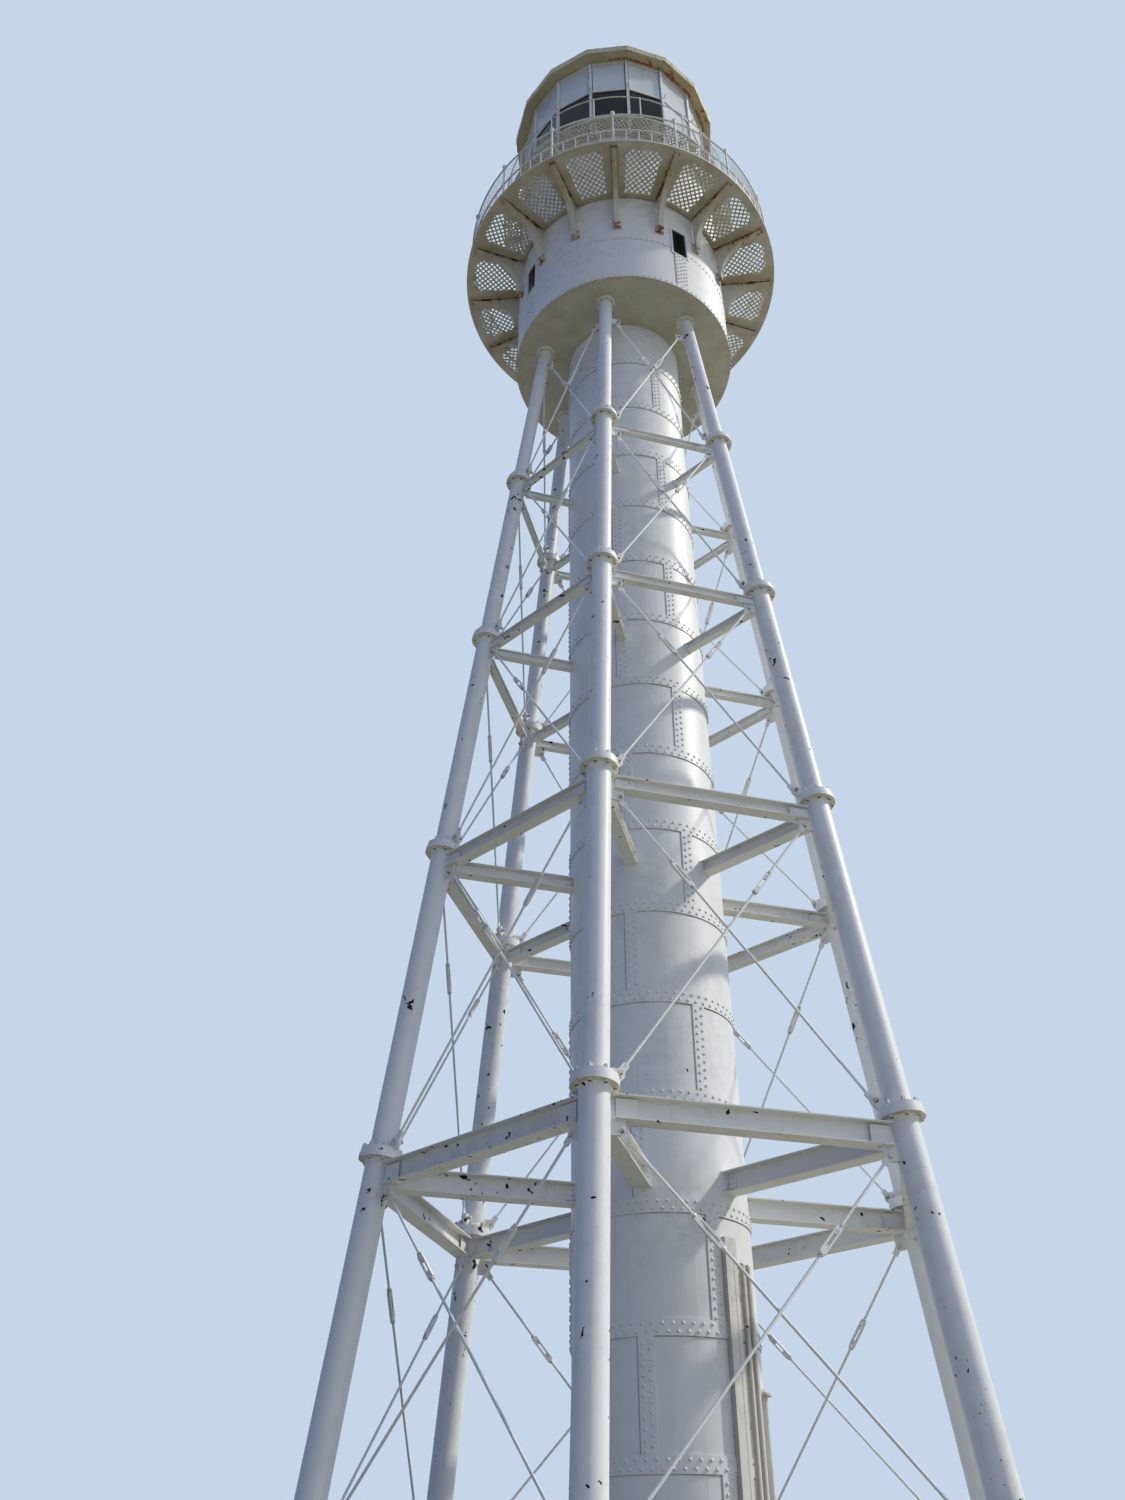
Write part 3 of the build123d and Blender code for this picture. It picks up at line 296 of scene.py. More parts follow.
def worn_paint(name, paint, shade, underside_shade, rust=0.5, chips=0.5, streaks=0.5, levels=(), reach=0.12,
               under_rust=0.25, courses=None, uprights=None, weather=None, seam="#5F5850",
               gloss=0.46):
    """Brushed oil paint on iron. paint and shade are its clean and chalked colours; the next colour
    is a painted warm shade for surfaces that face down, laid in clouds like grime; rust, chips and
    streaks are amounts, about 0 to 1; levels are heights of joints, reach how far their rust
    spreads, under_rust how much undersides have; courses and uprights place the seams of a plated
    wall and seam colours their lines, which are dirt and painted shadow; weather is the span of x
    over which rust gains, and how much. Each coat is mixed over the last by its mask."""
    material, tree, put, shader = new_material(name)
    place = put("TexCoord", out="Object")
    facing = put("TexCoord", out="Normal")
    side = put("SeparateXYZ", [place], out="X")
    height = put("SeparateXYZ", [place], out="Z")
    lift = put("SeparateXYZ", [facing], out="Z")
    drawn_down = put("Mapping", {"Vector": place, "Scale": RAIN_STRETCH})
    noise = {}
    for wear, (scale, detail, roughness, distortion) in WEAR_NOISE.items():
        where = drawn_down if wear == "streak" else place
        settings = [where, None, scale, detail, roughness, None, None, None, distortion]
        noise[wear] = put("TexNoise", settings)

    # Each mask is the span of a noise or a slope that turns into 0 to 1.
    broad = put("MapRange", [noise["broad"], 0.38, 0.62])
    patch = put("MapRange", [noise["patch"], 0.42, 0.66])
    tone = put("Math MULTIPLY", [broad, patch])
    streak = put("MapRange", [noise["streak"], 0.56, 0.8, 0.0, 0.75 * streaks])
    down = put("MapRange", [lift, -0.35, -0.85])
    # Faces that point down take the underside colour in stain-shaped clouds: a painted warm shade,
    # mixed with grime.
    underside_shade_and_grime = put("MapRange", [noise["stain"], 0.35, 0.62, 0.55, 1.0])
    underside_shade_and_grime = put("Math MULTIPLY", [down, underside_shade_and_grime])
    coats = [(tone, colour(shade)), (streak, colour(RAIN_DUST)), (underside_shade_and_grime, colour(underside_shade))]

    # Seam lines: dirt and painted shadow along the straps' edges.
    if courses:
        under, left = seam_lines(put, place, courses, uprights)
        broken = put("MapRange", [noise["stain"], 0.34, 0.5, 0.15, 0.8])
        under = put("Math MULTIPLY", [under, broken])
        line = put("Math MULTIPLY_ADD", [left, 0.5, under], use_clamp=True)
        coats.append((line, colour(seam)))

    bias = put("Math MULTIPLY", [down, under_rust])
    if levels:
        joint, run = joint_masks(put, height, levels, reach)
        run = put("Math MULTIPLY", [run, streak])
        joint = put("Math MULTIPLY", [joint, 0.30])
        bias = put("Math MAXIMUM", [bias, joint])
        bias = put("Math ADD", [bias, run])
    if weather:
        low, high, gain = weather
        gained = put("MapRange", [side, low, high, 0.0, gain])
        bias = put("Math ADD", [bias, gained])
    bloom = put("Math ADD", [noise["bloom"], bias])
    edge = 0.86 - 0.16 * rust
    rusty = put("MapRange", [bloom, edge, edge + 0.07])
    halo = put("MapRange", [bloom, edge - 0.13, edge + 0.02, 0.0, 0.5])
    grain = put("MapRange", [noise["grain"], 0.38, 0.62])
    oxides = {0: grain, 6: colour(OXIDE_PALE), 7: colour(OXIDE_DARK)}
    oxide = put("Mix", oxides, out=2, data_type="RGBA")

    cluster = put("MapRange", [broad, 0.0, 1.0, -0.09, 0.03])
    flake = put("Math ADD", [noise["flake"], cluster])
    limit = 0.80 - 0.10 * chips
    bare = put("MapRange", [flake, limit, limit + 0.012])
    coats += [(halo, colour(RUST_STAIN)), (rusty, oxide), (bare, colour(PRIMER))]
    body = colour(paint)
    for mask, coat in coats:
        body = put("Mix", {0: mask, 6: body, 7: coat}, out=2, data_type="RGBA")

    worn = put("Math MAXIMUM", [rusty, bare])
    rough = put("MapRange", [worn, 0.0, 1.0, gloss, 0.85])
    dent = put("Math MULTIPLY", [bare, -0.9])
    scale = put("Math MULTIPLY", [rusty, grain])
    relief = put("Math ADD", [dent, scale])
    relief = put("Math MULTIPLY_ADD", [noise["brush"], 0.25, relief])
    bump = put("Bump", {"Strength": 0.35, "Distance": 0.002, "Height": relief})
    feed(tree, shader, {"Base Color": body, "Roughness": rough, "Normal": bump,
                        "IOR": 1.48, "Specular IOR Level": 0.35})
    return material


# %% [markdown]
# ## One recipe, many conditions
#
# The same paint weathers differently over the tower, so one table gives each surface its colours
# and its state, and a comment says what that gives the eye.

# %% The painted finishes
# Name of the paint: starts of the names of the nodes that wear it, its clean and chalked colours,
# the painted warm shade of its undersides, and its wear.
PAINTS = {
    # Thick gloss on cast iron: an even cool white, broken by hard-edged chips.
    "oil_paint_on_cast_columns": ("columns", "#F2F4F4", "#E6E8E6", "#D3CEB0", dict(
        rust=0.15, chips=1.2, streaks=0.15, under_rust=0.2)),
    # Wet from the ground: duller, streaked, rusting along both flanges.
    "oil_paint_on_foot_castings": ("foot_castings", "#E6E7E4", "#CFCFC6", "#A79E80", dict(
        rust=0.7, chips=0.8, streaks=0.6, levels=[0.03, 0.74], reach=0.09)),
    # Rolled beams: clean webs, lower flanges creamy with painted shade, chips along them.
    "oil_paint_on_rolled_beams": (
        "ring_girders radial_struts", "#F0F1EF", "#E2E3DE", "#E2DFCC", dict(
        rust=0.3, chips=1.2, streaks=0.2, under_rust=0.10)),
    # Thin round rods: nearly pure white, whiter than the rest as painted sunlight, so that they
    # stand out against the tube.
    "oil_paint_on_tie_rods": ("tie_rods", "#FAFAF8", "#EDEEEA", "#C9C4A8", dict(
        rust=0.3, streaks=0.3, under_rust=0.06)),
    # Rolled plate of the stair tube: faint patches, a dark broken line at every lap, dirt and
    # painted shadow.
    "oil_paint_on_riveted_plate": ("tube_wall", "#EEF0F0", "#E1E4E4", "#B3A888", dict(
        rust=0.2, chips=0.4, streaks=0.15, courses=(0.3145, 1.164),
        uprights=(39.0, 120.0, -44.5, -1.0, 19.0))),
    # Straps and rivet heads: a shade whiter than the plate, because paint builds up on them.
    "oil_paint_on_cover_straps": ("tube_straps drum_straps", "#EFF1F1", "#E2E5E4", "#B3AA90", dict(
        rust=0.2, chips=0.35, streaks=0.15)),
    # Drum plate: as the tube, with a stain under the gallery and lines of dirt and painted shadow
    # at its own seams.
    "oil_paint_on_drum_plate": (
        "drum_wall drum_window_frames", "#F1F2F2", "#E1E3E2", "#B5AC90", dict(
        rust=0.12, chips=0.3, streaks=0.15, levels=[21.28], reach=0.07, under_rust=0.06,
        courses=(19.96, 1.33), uprights=(40.7, 90.0, 0.0, 18.92, 19.815))),
    # Soffit: cream gone khaki in clouds of painted shade and grime, with ochre spots.
    "stained_cream_paint_on_soffit": (
        "watch_room_floor drum_head_ring", "#D6D3C3", "#C3BEA8", "#B5B099", dict(
        chips=0.35, streaks=0.1, under_rust=0.08)),
    # Cast floors: cream, browner below with painted shade, rust along the bars.
    "cream_paint_on_lattice_floor": (
        "gallery_deck lantern_floor catwalk_deck", "#E4E2D8", "#D3CFBF", "#B5AD8F", dict(
        rust=0.45, chips=0.4, streaks=0.1, under_rust=0.13)),
    # Brackets: streaky cream, rusting at the pad and under the floor.
    "cream_paint_on_cast_brackets": (
        "gallery_brackets catwalk_brackets", "#DDDACD", "#CAC5B1", "#ACA486", dict(
        rust=0.6, streaks=0.6, levels=[20.3, 21.28], under_rust=0.16)),
    # Railings: bright white, rusting where posts meet floor and rail.
    "oil_paint_on_railings": (
        "gallery_posts gallery_rails catwalk_rail", "#F4F5F4", "#E2E3DE", "#C9C4A8", dict(
        rust=0.4, streaks=0.4, levels=[21.35, 23.45], reach=0.05, under_rust=0.05)),
    # Lantern frame: cool white with rain streaks.
    "oil_paint_on_lantern": (
        "lantern_base_wall lantern_mullions lantern_bars", "#EEF0F1", "#DADDDC", "#B8B29C", dict(
        rust=0.35, chips=0.35, streaks=0.45, levels=[23.43], reach=0.06, under_rust=0.05)),
    # Flat sheets among the panes: bluish, smooth and glossier than the rest.
    "oil_paint_on_sheet_blanks": ("lantern_blanks", "#DCE2E4", "#C9D2D6", "#B0AA96", dict(
        rust=0.25, chips=0.15, streaks=0.35, under_rust=0.05, gloss=0.3)),
    # Gutter: yellowed cream, breaking into rust on the weather side.
    "rusting_cream_paint_on_gutter": ("lantern_gutter", "#D2CCAC", "#BDB48C", "#ADA37C", dict(
        rust=0.45, chips=0.6, streaks=0.4, under_rust=0.10, weather=(0.35, 0.75, 0.13))),
    # The gutter's bearing angle: solid brown rust towards the weather.
    "rusted_paint_on_gutter_angle": ("", "#D2CCAC", "#BDB48C", "#A99C6E", dict(
        rust=0.95, chips=0.7, streaks=0.4, under_rust=0.0, weather=(-0.35, 0.45, 0.30))),
    # Roof sheet: chalky grey-white with long streaks.
    "chalked_paint_on_sheet_roof": (
        "lantern_roof ventilator", "#D9D9D4", "#C2C2BA", "#A79E80", dict(
        chips=0.35, streaks=0.7, levels=[26.5, 27.7])),
    # Pipes and cable cover: greyer, with a brown line down the cover's edge.
    "oil_paint_on_steel_pipe": ("service_pipes", "#E2E1DB", "#CBC8BE", "#9A8D76", dict(
        rust=0.35, under_rust=0.2, courses=(-9.0, 90.0), uprights=(60.9, 6.0, 0.0, -1.0, 3.45),
        seam="#93765A")),
    # Plate doors: blue-grey, streaked, rusting at sill and head.
    "oil_paint_on_plate_doors": ("entry_door gallery_door", "#D5DADC", "#C0C7CA", "#A79E80", dict(
        streaks=0.6, levels=[0.15, 2.0, 21.36], reach=0.08)),
    # Bolt heads: paint worn thin, their undersides brown with rust and painted shade, so that they
    # read as dots.
    "painted_bolt_heads": ("", "#E8E6DD", "#D2CCBC", "#66553C", dict(
        rust=0.3, chips=0.8, streaks=0.2, under_rust=0.15)),
    # Seams under the gallery: paint bled through with ochre, the rustiest lines up there.
    "rust_bled_paint_on_seams": ("", "#D3CBB0", "#B9AC88", "#A59673", dict(
        rust=0.55, chips=0.7, under_rust=0.18, weather=(2.0, 2.9, 0.15))),
}
finish, worn_by = {}, {"drum_window_panes": "plate_glass", "lantern_glass": "plate_glass"}
for name, (nodes, paint, shade, underside_shade, wear) in PAINTS.items():
    finish[name] = worn_paint(name, paint, shade, underside_shade, **wear)
    worn_by.update(dict.fromkeys(nodes.split(), name))
print("painted finishes:", len(finish))

# %% [markdown]
# ## Glass and wire
#
# The panes stand before a dark room, so they look almost black with a sharp sheen: a glass surface
# over a painted near-black green that stands for the dark room behind, dulled by dust in patches.
# The mesh is zinc-coated steel wire gone grey.

# %% Glass and wire
def window_glass():
    """Old plate glass before a dark room: opaque, its colour a painted black-green shade for the
    room behind, smooth, its roughness dusted by noise.
    """
    material, tree, put, shader = new_material("plate_glass_before_dark_room")
    place = put("TexCoord", out="Object")
    dust = put("TexNoise", [place, None, 3.0, 5.0, 0.7])
    film = put("MapRange", [dust, 0.4, 0.7])
    # Painted shade: the near-black greens stand for the dark room seen through the glass.
    tones = {0: film, 6: colour("#050908"), 7: colour("#101A1B")}
    body = put("Mix", tones, out=2, data_type="RGBA")
    rough = put("MapRange", [film, 0.0, 1.0, 0.05, 0.28])
    ripple = put("TexNoise", [place, None, 2.0, 1.0])
    bump = put("Bump", {"Strength": 0.08, "Distance": 0.01, "Height": ripple})
    feed(tree, shader, {"Base Color": body, "Roughness": rough, "Normal": bump,
                        "IOR": 1.52, "Specular IOR Level": 0.06})
    return material


def zinc_wire():
    """Weathered zinc-coated wire: a dull metal, mottled pale and dark grey."""
    material, tree, put, shader = new_material("weathered_zinc_wire")
    place = put("TexCoord", out="Object")
    spangle = put("TexNoise", [place, None, 25.0, 3.0])
    tones = {0: put("MapRange", [spangle, 0.35, 0.65]), 6: colour("#D5D8DA"), 7: colour("#9C9C96")}
    body = put("Mix", tones, out=2, data_type="RGBA")
    feed(tree, shader, {"Base Color": body, "Metallic": 0.35, "Roughness": 0.6})
    return material


finish["plate_glass"] = window_glass()
finish["zinc_wire"] = zinc_wire()
print("with glass and wire:", len(finish))

# %% [markdown]
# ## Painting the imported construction
#
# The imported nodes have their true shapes, so they stay and only take a finish, which the table of
# paints gives by the start of each node's name. Where two starts fit, the longer one counts.

# %% Give the nodes their finishes
for name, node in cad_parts.items():
    start = max((start for start in worn_by if name.startswith(start)), key=len)
    for place in node.material_slots:
        place.material = finish[worn_by[start]]
print("painted", len(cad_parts), "nodes")

# %% [markdown]
# ## Meshes from arrays
#
# A shape is a pair: its points, and a list of arrays of faces. Four tools make all the small
# ironwork: a turned shape, copies of a shape stood on many spots, bars drawn along many lines at
# once, and copies turned about the tower's axis.

# %% Faces and turned shapes
def unit(vectors):
    """Each vector divided by its own length."""
    return vectors / np.linalg.norm(vectors, axis=-1, keepdims=True)


def skin(rings, sides):
    """Closed faces over stacked rings of points, numbered ring by ring: quads between neighbouring
    rings, and the first and the last ring as flat ends."""
    ring, side = np.meshgrid(np.arange(rings - 1), np.arange(sides), indexing="ij")
    here, after = ring * sides + side, ring * sides + (side + 1) % sides
    quads = np.stack([here, after, after + sides, here + sides], -1).reshape(-1, 4)
    return [quads, np.stack([np.arange(sides)[::-1], (rings - 1) * sides + np.arange(sides)])]


def repeated(faces, copies, count):
    """Faces of many copies of a shape, each counting on by the points of one."""
    step = np.arange(copies)[:, None, None] * count
    return [(face + step).reshape(-1, face.shape[1]) for face in faces]


def lathe(profile, sides):
    """Turned shape: point (i, j) = (r_i cos t_j, r_i sin t_j, z_i) with t_j = 2 pi j / sides. The
    profile starts low and ends high, and flat rims close both ends."""
    radius, level = np.array(profile, float).T
    angle = 2 * pi * np.arange(sides) / sides
    across, along = np.outer(radius, np.cos(angle)), np.outer(radius, np.sin(angle))
    rings = np.stack([across, along, np.repeat(level[:, None], sides, 1)], -1)
    return rings.reshape(-1, 3), skin(len(radius), sides)


rivet = lathe([(0.0175, 0.0), (0.0165, 0.005), (0.0115, 0.0105), (0.004, 0.013)], 8)
print("a rivet head has", len(rivet[0]), "points")


# %% Copies and bars
def stamped(shape, spots, ways):
    """Copies of a shape: point p of copy k is spot_k + p_x side_k + p_y up_k + p_z way_k, where
    side_k = z x way_k (or x x way_k where way_k is upright) and up_k = way_k x side_k."""
    points, faces = shape
    spots = np.asarray(spots, float)
    way = unit(np.broadcast_to(np.asarray(ways, float), spots.shape))
    guide = np.where(np.abs(way[:, 2:]) < 0.95, [0.0, 0.0, 1.0], [1.0, 0.0, 0.0])
    side = unit(np.cross(guide, way))
    axes = np.stack([side, np.cross(way, side), way], 1)
    placed = spots[:, None] + np.einsum("pi,kij->kpj", points, axes)
    return placed.reshape(-1, 3), repeated(faces, len(spots), len(points))


def drawn(paths, outline, outward):
    """Bars along many lines at once. paths is (bars, steps, 3), outline is (corners, 2); corner
    (a, b) at a step sits at path + a (outward x along) + b outward. Flat ends close each bar."""
    along = unit(np.gradient(paths, axis=1))
    out = unit(outward - np.sum(outward * along, -1, keepdims=True) * along)[:, :, None]
    side = np.cross(out, along[:, :, None])
    outline = np.asarray(outline, float)
    points = paths[:, :, None] + outline[:, :1] * side + outline[:, 1:] * out
    bars, steps, corners = points.shape[:3]
    return points.reshape(-1, 3), repeated(skin(steps, corners), bars, steps * corners)


def joined(*shapes):
    """Several shapes as one: faces of each count on from the points before it."""
    points, faces, start = [], [], 0
    for shape_points, shape_faces in shapes:
        points.append(shape_points)
        faces += [face + start for face in shape_faces]
        start += len(shape_points)
    return np.concatenate(points), faces


def around(shape, azimuths):
    """Copies of a shape turned about the tower's axis, azimuths in degrees."""
    points, faces = shape
    copies = []
    for azimuth in azimuths:
        c, s = cos(radians(azimuth)), sin(radians(azimuth))
        copies.append((points @ np.array([[c, s, 0.0], [-s, c, 0.0], [0.0, 0.0, 1.0]]), faces))
    return joined(*copies)


# %% Places round the tower
COLUMN_AZIMUTHS = 60.0 * np.arange(6)
FACE_AZIMUTHS = COLUMN_AZIMUTHS + 30
BAYS, HEAD_TURN, LANTERN_TURN = 16, -1.2, -2.6
BAY_STEPS = 360 / BAYS * np.arange(BAYS)
HALF_STEPS = 360 / BAYS * (np.arange(BAYS) + 0.5)
DOWN, OUT, LEVEL = np.array([[0.0, 0.0, -1.0], [0.0, -1.0, 0.0], [1.0, 1.0, 0.0]])


def ring_spots(radius, height, azimuths):
    """Points (r sin a, -r cos a, z) and the level outward directions there, azimuths in degrees."""
    azimuth, radius, height = np.broadcast_arrays(np.radians(azimuths), radius, height)
    out = np.stack([np.sin(azimuth), -np.cos(azimuth), 0 * azimuth], -1)
    points = out * radius[..., None]
    points[..., 2] = height
    return points, out


def pitched(radius, pitch):
    """Azimuths of the whole number of equal steps round a circle that comes nearest to a pitch."""
    count = round(2 * pi * radius / pitch)
    return 360 / count * np.arange(count)


def flat(*fields):
    """Arrays spread over each other, each laid out as one row."""
    return [field.ravel() for field in np.broadcast_arrays(*fields)]


# %% A piece on the frame
def piece(name, shape, paint, smooth=False, stands_for=()):
    """Object of a shape, riding on the frame, with its finish; the imported nodes it stands for are
    hidden.
    """
    points, faces = shape
    mesh = bpy.data.meshes.new(name)
    mesh.from_pydata(points, [], [row for face in faces for row in face.tolist()])
    mesh.materials.append(finish[paint])
    mesh.polygons.foreach_set("use_smooth", np.full(len(mesh.polygons), smooth))
    thing = bpy.data.objects.new(name, mesh)
    scene.collection.objects.link(thing)
    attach(thing, "root")
    if stands_for:
        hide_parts(*stands_for)
    triangles = sum(len(face) * (face.shape[1] - 2) for face in faces)
    print(f"{name}: {triangles} triangles")


# %% [markdown]
# ## Rivets of the stair tube
#
# The tube is rolled from plates 1.16 m high. A strap with two staggered rows of sixty snap-head
# rivets covers each ring seam, and a butt strap with two more rows each upright seam, leaving room
# for the struts. A head is a dome 35 mm across and 13 mm high, with eight sides because there are
# thousands of them.

# %% Tube rivets
TUBE_FACE = 0.9873
SEAM_FIRST, COURSE, TUBE_FOOT, SOFFIT = 0.392, 1.164, 0.06, 18.83
STRAP_HALF, ROW_HALF, RING_COUNT = 0.0775, 0.0375, 60
BUTT_AZIMUTHS, BUTT_ROW_HALF, BUTT_PITCH = (-0.8, 43.7), 0.0355, 0.0905
BEAM_DEPTHS = [0.228, 0.168, 0.132, 0.104]
BEAM_WIDTHS = [0.200, 0.155, 0.100, 0.080]
STRUT_ROOM_ACROSS, STRUT_ROOM_UP = 0.033, 0.015
DOOR_AZIMUTH, DOOR_CLEAR, DOOR_TOP = 210, 26.2, 2.12
STAGGER = np.array([[0.0], [0.5]])
PAIR = np.array([[-1.0], [1.0]])
seams = np.arange(SEAM_FIRST, SOFFIT - COURSE / 2, COURSE)


def beside_door(azimuth, height):
    """True where a rivet would stand in the doorway."""
    apart = np.abs((azimuth - DOOR_AZIMUTH + 180) % 360 - 180)
    return (apart < DOOR_CLEAR) & (height < DOOR_TOP)


def under_strut(azimuth, height):
    """True where a rivet would stand behind the foot of a radial strut, one each 60 degrees."""
    apart = np.abs((azimuth + 30) % 60 - 30)
    hidden = np.zeros(apart.shape, bool)
    for axis, depth, width in zip(BEAM_AXES, BEAM_DEPTHS, BEAM_WIDTHS):
        room = np.degrees((width / 2 + STRUT_ROOM_ACROSS) / TUBE_FACE)
        hidden |= (np.abs(height - axis) < depth / 2 + STRUT_ROOM_UP) & (apart < room)
    return hidden


def ring_rivets():
    """Two rows of sixty each seam, 37.5 mm above and below it, the upper one half a pitch on."""
    azimuth = 360 / RING_COUNT * (np.arange(RING_COUNT) + STAGGER)
    azimuth, height = flat(azimuth, seams[:, None, None] + PAIR * ROW_HALF)
    kept = ~beside_door(azimuth, height)
    return stamped(rivet, *ring_spots(TUBE_FACE, height[kept], azimuth[kept]))


def butt_rivets():
    """Two staggered rows in each upright strap, three straps a course, every other one turned."""
    lows = np.concatenate([[TUBE_FOOT], seams + STRAP_HALF])
    highs = np.concatenate([seams - STRAP_HALF, [SOFFIT]])
    rows = np.degrees(PAIR * BUTT_ROW_HALF / TUBE_FACE)
    fields = []
    for course, (low, high) in enumerate(zip(lows, highs)):
        count = int((high - low) / BUTT_PITCH)
        height = low + (high - low) / count * (np.arange(count) + 0.25 + STAGGER)
        azimuth = BUTT_AZIMUTHS[course % 2] + np.array([0, 120, 240])[:, None, None] + rows
        fields.append(flat(azimuth, height))
    azimuth, height = np.concatenate(fields, 1)
    kept = ~beside_door(azimuth, height) & ~under_strut(azimuth, height)
    return stamped(rivet, *ring_spots(TUBE_FACE, height[kept], azimuth[kept]))


STRAP, WHITE = "oil_paint_on_cover_straps", "white_paint"
piece("tube_seam_rivets", ring_rivets(), STRAP, smooth=True)
piece("tube_butt_rivets", butt_rivets(), STRAP, smooth=True)

# %% [markdown]
# ## Rivets of the drum
#
# The watch room is plated in the same way: a row round its rim strap, one over the lap of the two
# courses, one under the gallery, and four in each wide strap under a window. The soffit plates are
# held to the rim angle by a ring of rivets that faces the ground, and meet under radial strips.

# %% Drum rivets
DRUM_FACE, DRUM_WALL, DRUM_SEAM = 1.9333, 1.923, 19.96
WINDOWS = np.array([45.5, 135.5, 225.5, 315.5])
WINDOW_CLEAR, WINDOW_LOW, WINDOW_REACH = 6.0, 19.79, 0.2
DRUM_ROWS = ((18.875, 0.10, DRUM_FACE), (19.995, 0.10, DRUM_WALL), (21.235, 0.11, DRUM_WALL))
STRAP_ROWS = np.array([[-0.085], [-0.028], [0.028], [0.085]])
STRAP_LOW, STRAP_PITCH, STRAP_COUNT = 18.975, 0.108, 8
SOFFIT_RINGS = ((1.885, 0.085), (1.04, 0.10))
LAP_HALF, LAP_IN, LAP_OUT, LAP_TURN = 0.026, 0.995, 1.905, -4.0
LAP_FACE, LAP_BACK = 18.821, 18.831
LAP_RIVETS = np.arange(1.08, 1.88, 0.09)


def drum_rivets():
    """Rows round the drum, skipping the windows, and four short rows in the straps below them."""
    shapes = []
    for level, pitch, face in DRUM_ROWS:
        azimuth = pitched(face, pitch) + HEAD_TURN
        apart = np.abs((azimuth - HEAD_TURN) % 90 - WINDOWS[0])
        kept = (apart > WINDOW_CLEAR) | (abs(level - DRUM_SEAM) > WINDOW_REACH)
        shapes.append(stamped(rivet, *ring_spots(face, level, azimuth[kept])))
    rows = np.degrees(STRAP_ROWS / DRUM_FACE)
    height = STRAP_LOW + STRAP_PITCH * (np.arange(STRAP_COUNT) + np.tile(STAGGER, (2, 1)))
    azimuth, height = flat(WINDOWS[:, None, None] + HEAD_TURN + rows, height)
    kept = height < WINDOW_LOW
    shapes.append(stamped(rivet, *ring_spots(DRUM_FACE, height[kept], azimuth[kept])))
    return joined(*shapes)


def soffit_rivets():
    """Ring of rivets facing down along the edge of the soffit, and another round the tube."""
    rings = [ring_spots(radius, SOFFIT, pitched(radius, step))[0] for radius, step in SOFFIT_RINGS]
    return joined(*[stamped(rivet, ring, DOWN) for ring in rings])


def soffit_laps():
    """Six flat strips over the radial laps of the soffit, each with a row of rivets."""
    corners = [(-1, LAP_OUT), (1, LAP_OUT), (1, LAP_IN), (-1, LAP_IN)]
    strip = [(a * LAP_HALF, -r, z) for z in (LAP_FACE, LAP_BACK) for a, r in corners]
    spots = np.stack([0 * LAP_RIVETS, -LAP_RIVETS, 0 * LAP_RIVETS + LAP_FACE], 1)
    one = joined((np.array(strip), skin(2, 4)), stamped(rivet, spots, DOWN))
    return around(one, COLUMN_AZIMUTHS + LAP_TURN)


SOFFIT_PAINT, UNDER = "stained_cream_paint_on_soffit", "under_paint"
piece("drum_rivets", drum_rivets(), STRAP, smooth=True)
piece("soffit_rivets", soffit_rivets(), SOFFIT_PAINT, smooth=True)
piece("soffit_laps", soffit_laps(), SOFFIT_PAINT)

# %% [markdown]
# ## Bolts in the flanges
#
# Column tiers seat on each other with turned flanges, eight bolts through each pair, and from the
# ground the rusty heads under them show. The bolts stand square to the raking column, so each spot
# is found on its axis and pushed out along two directions at right angles to it.

# %% Flange bolts
RAKE, COLUMN_CIRCLE = 0.1157, 3.634
DIAMETERS = [0.300, 0.280, 0.260, 0.240, 0.214]
FLANGE, BOLT_REACH = 0.056, 0.050
HEAD_BOLT_CIRCLE, ANCHOR_CIRCLE, FOOT_PLATE = 0.137, 0.310, 0.05
eight = np.repeat(COLUMN_AZIMUTHS, 8)


def hexagon_head(across, height):
    """Hexagon with its upper corners turned off: a six-sided turned shape."""
    corner = across / 2 / cos(pi / 6)
    return lathe([(corner, 0), (corner, 0.8 * height), (0.86 * corner, height)], 6)


def washer_nut_and_end(across):
    """Washer, hexagon nut and the rounded end of the bolt over it."""
    washer = lathe([(0.62 * across, 0), (0.62 * across, 0.1 * across)], 12)
    points, faces = hexagon_head(across, 0.85 * across)
    end = [(0.31 * across, 0), (0.31 * across, 1.15 * across), (0.2 * across, 1.25 * across)]
    return joined(washer, (points + [0, 0, 0.1 * across], faces), lathe(end, 8))


def column_axis(azimuth, height):
    """Axis point and direction of the columns at azimuths: r = 3.634 - 0.1157 z, leaning inward."""
    out = ring_spots(1.0, 0.0, azimuth)[1]
    along = unit(np.concatenate([-RAKE * out[:, :2], np.ones((len(out), 1))], 1))
    return out * (COLUMN_CIRCLE - RAKE * height) - height * DOWN, along, out


def flange_bolts():
    """Nut over and head under each pair of flanges, eight to a joint."""
    nut, head = washer_nut_and_end(0.042), hexagon_head(0.042, 0.026)
    shapes = []
    turn = np.radians(np.tile(45.0 * np.arange(8), 6))[:, None]
    for tier, seat in enumerate(TIER_SEATS[:5]):
        centre, along, out = column_axis(eight, seat)
        tangent = np.cross(-DOWN, out)
        inward = np.cross(along, tangent)
        spread = (DIAMETERS[max(tier - 1, 0)] + DIAMETERS[tier]) / 4 + BOLT_REACH
        spot = centre + spread * (np.cos(turn) * tangent + np.sin(turn) * inward)
        shapes.append(stamped(nut, spot + FLANGE * along, along))
        shapes.append(stamped(head, spot - FLANGE * along, -along))
    return joined(*shapes)


def level_bolts(bolt, height, circle, way):
    """Eight bolts to a column, round its axis at a height, on a level plate."""
    turn = np.radians(np.tile(22.5 + 45.0 * np.arange(8), 6))
    ring = np.stack([np.cos(turn), np.sin(turn), 0 * turn], 1)
    return stamped(bolt, column_axis(eight, height)[0] + circle * ring, way)


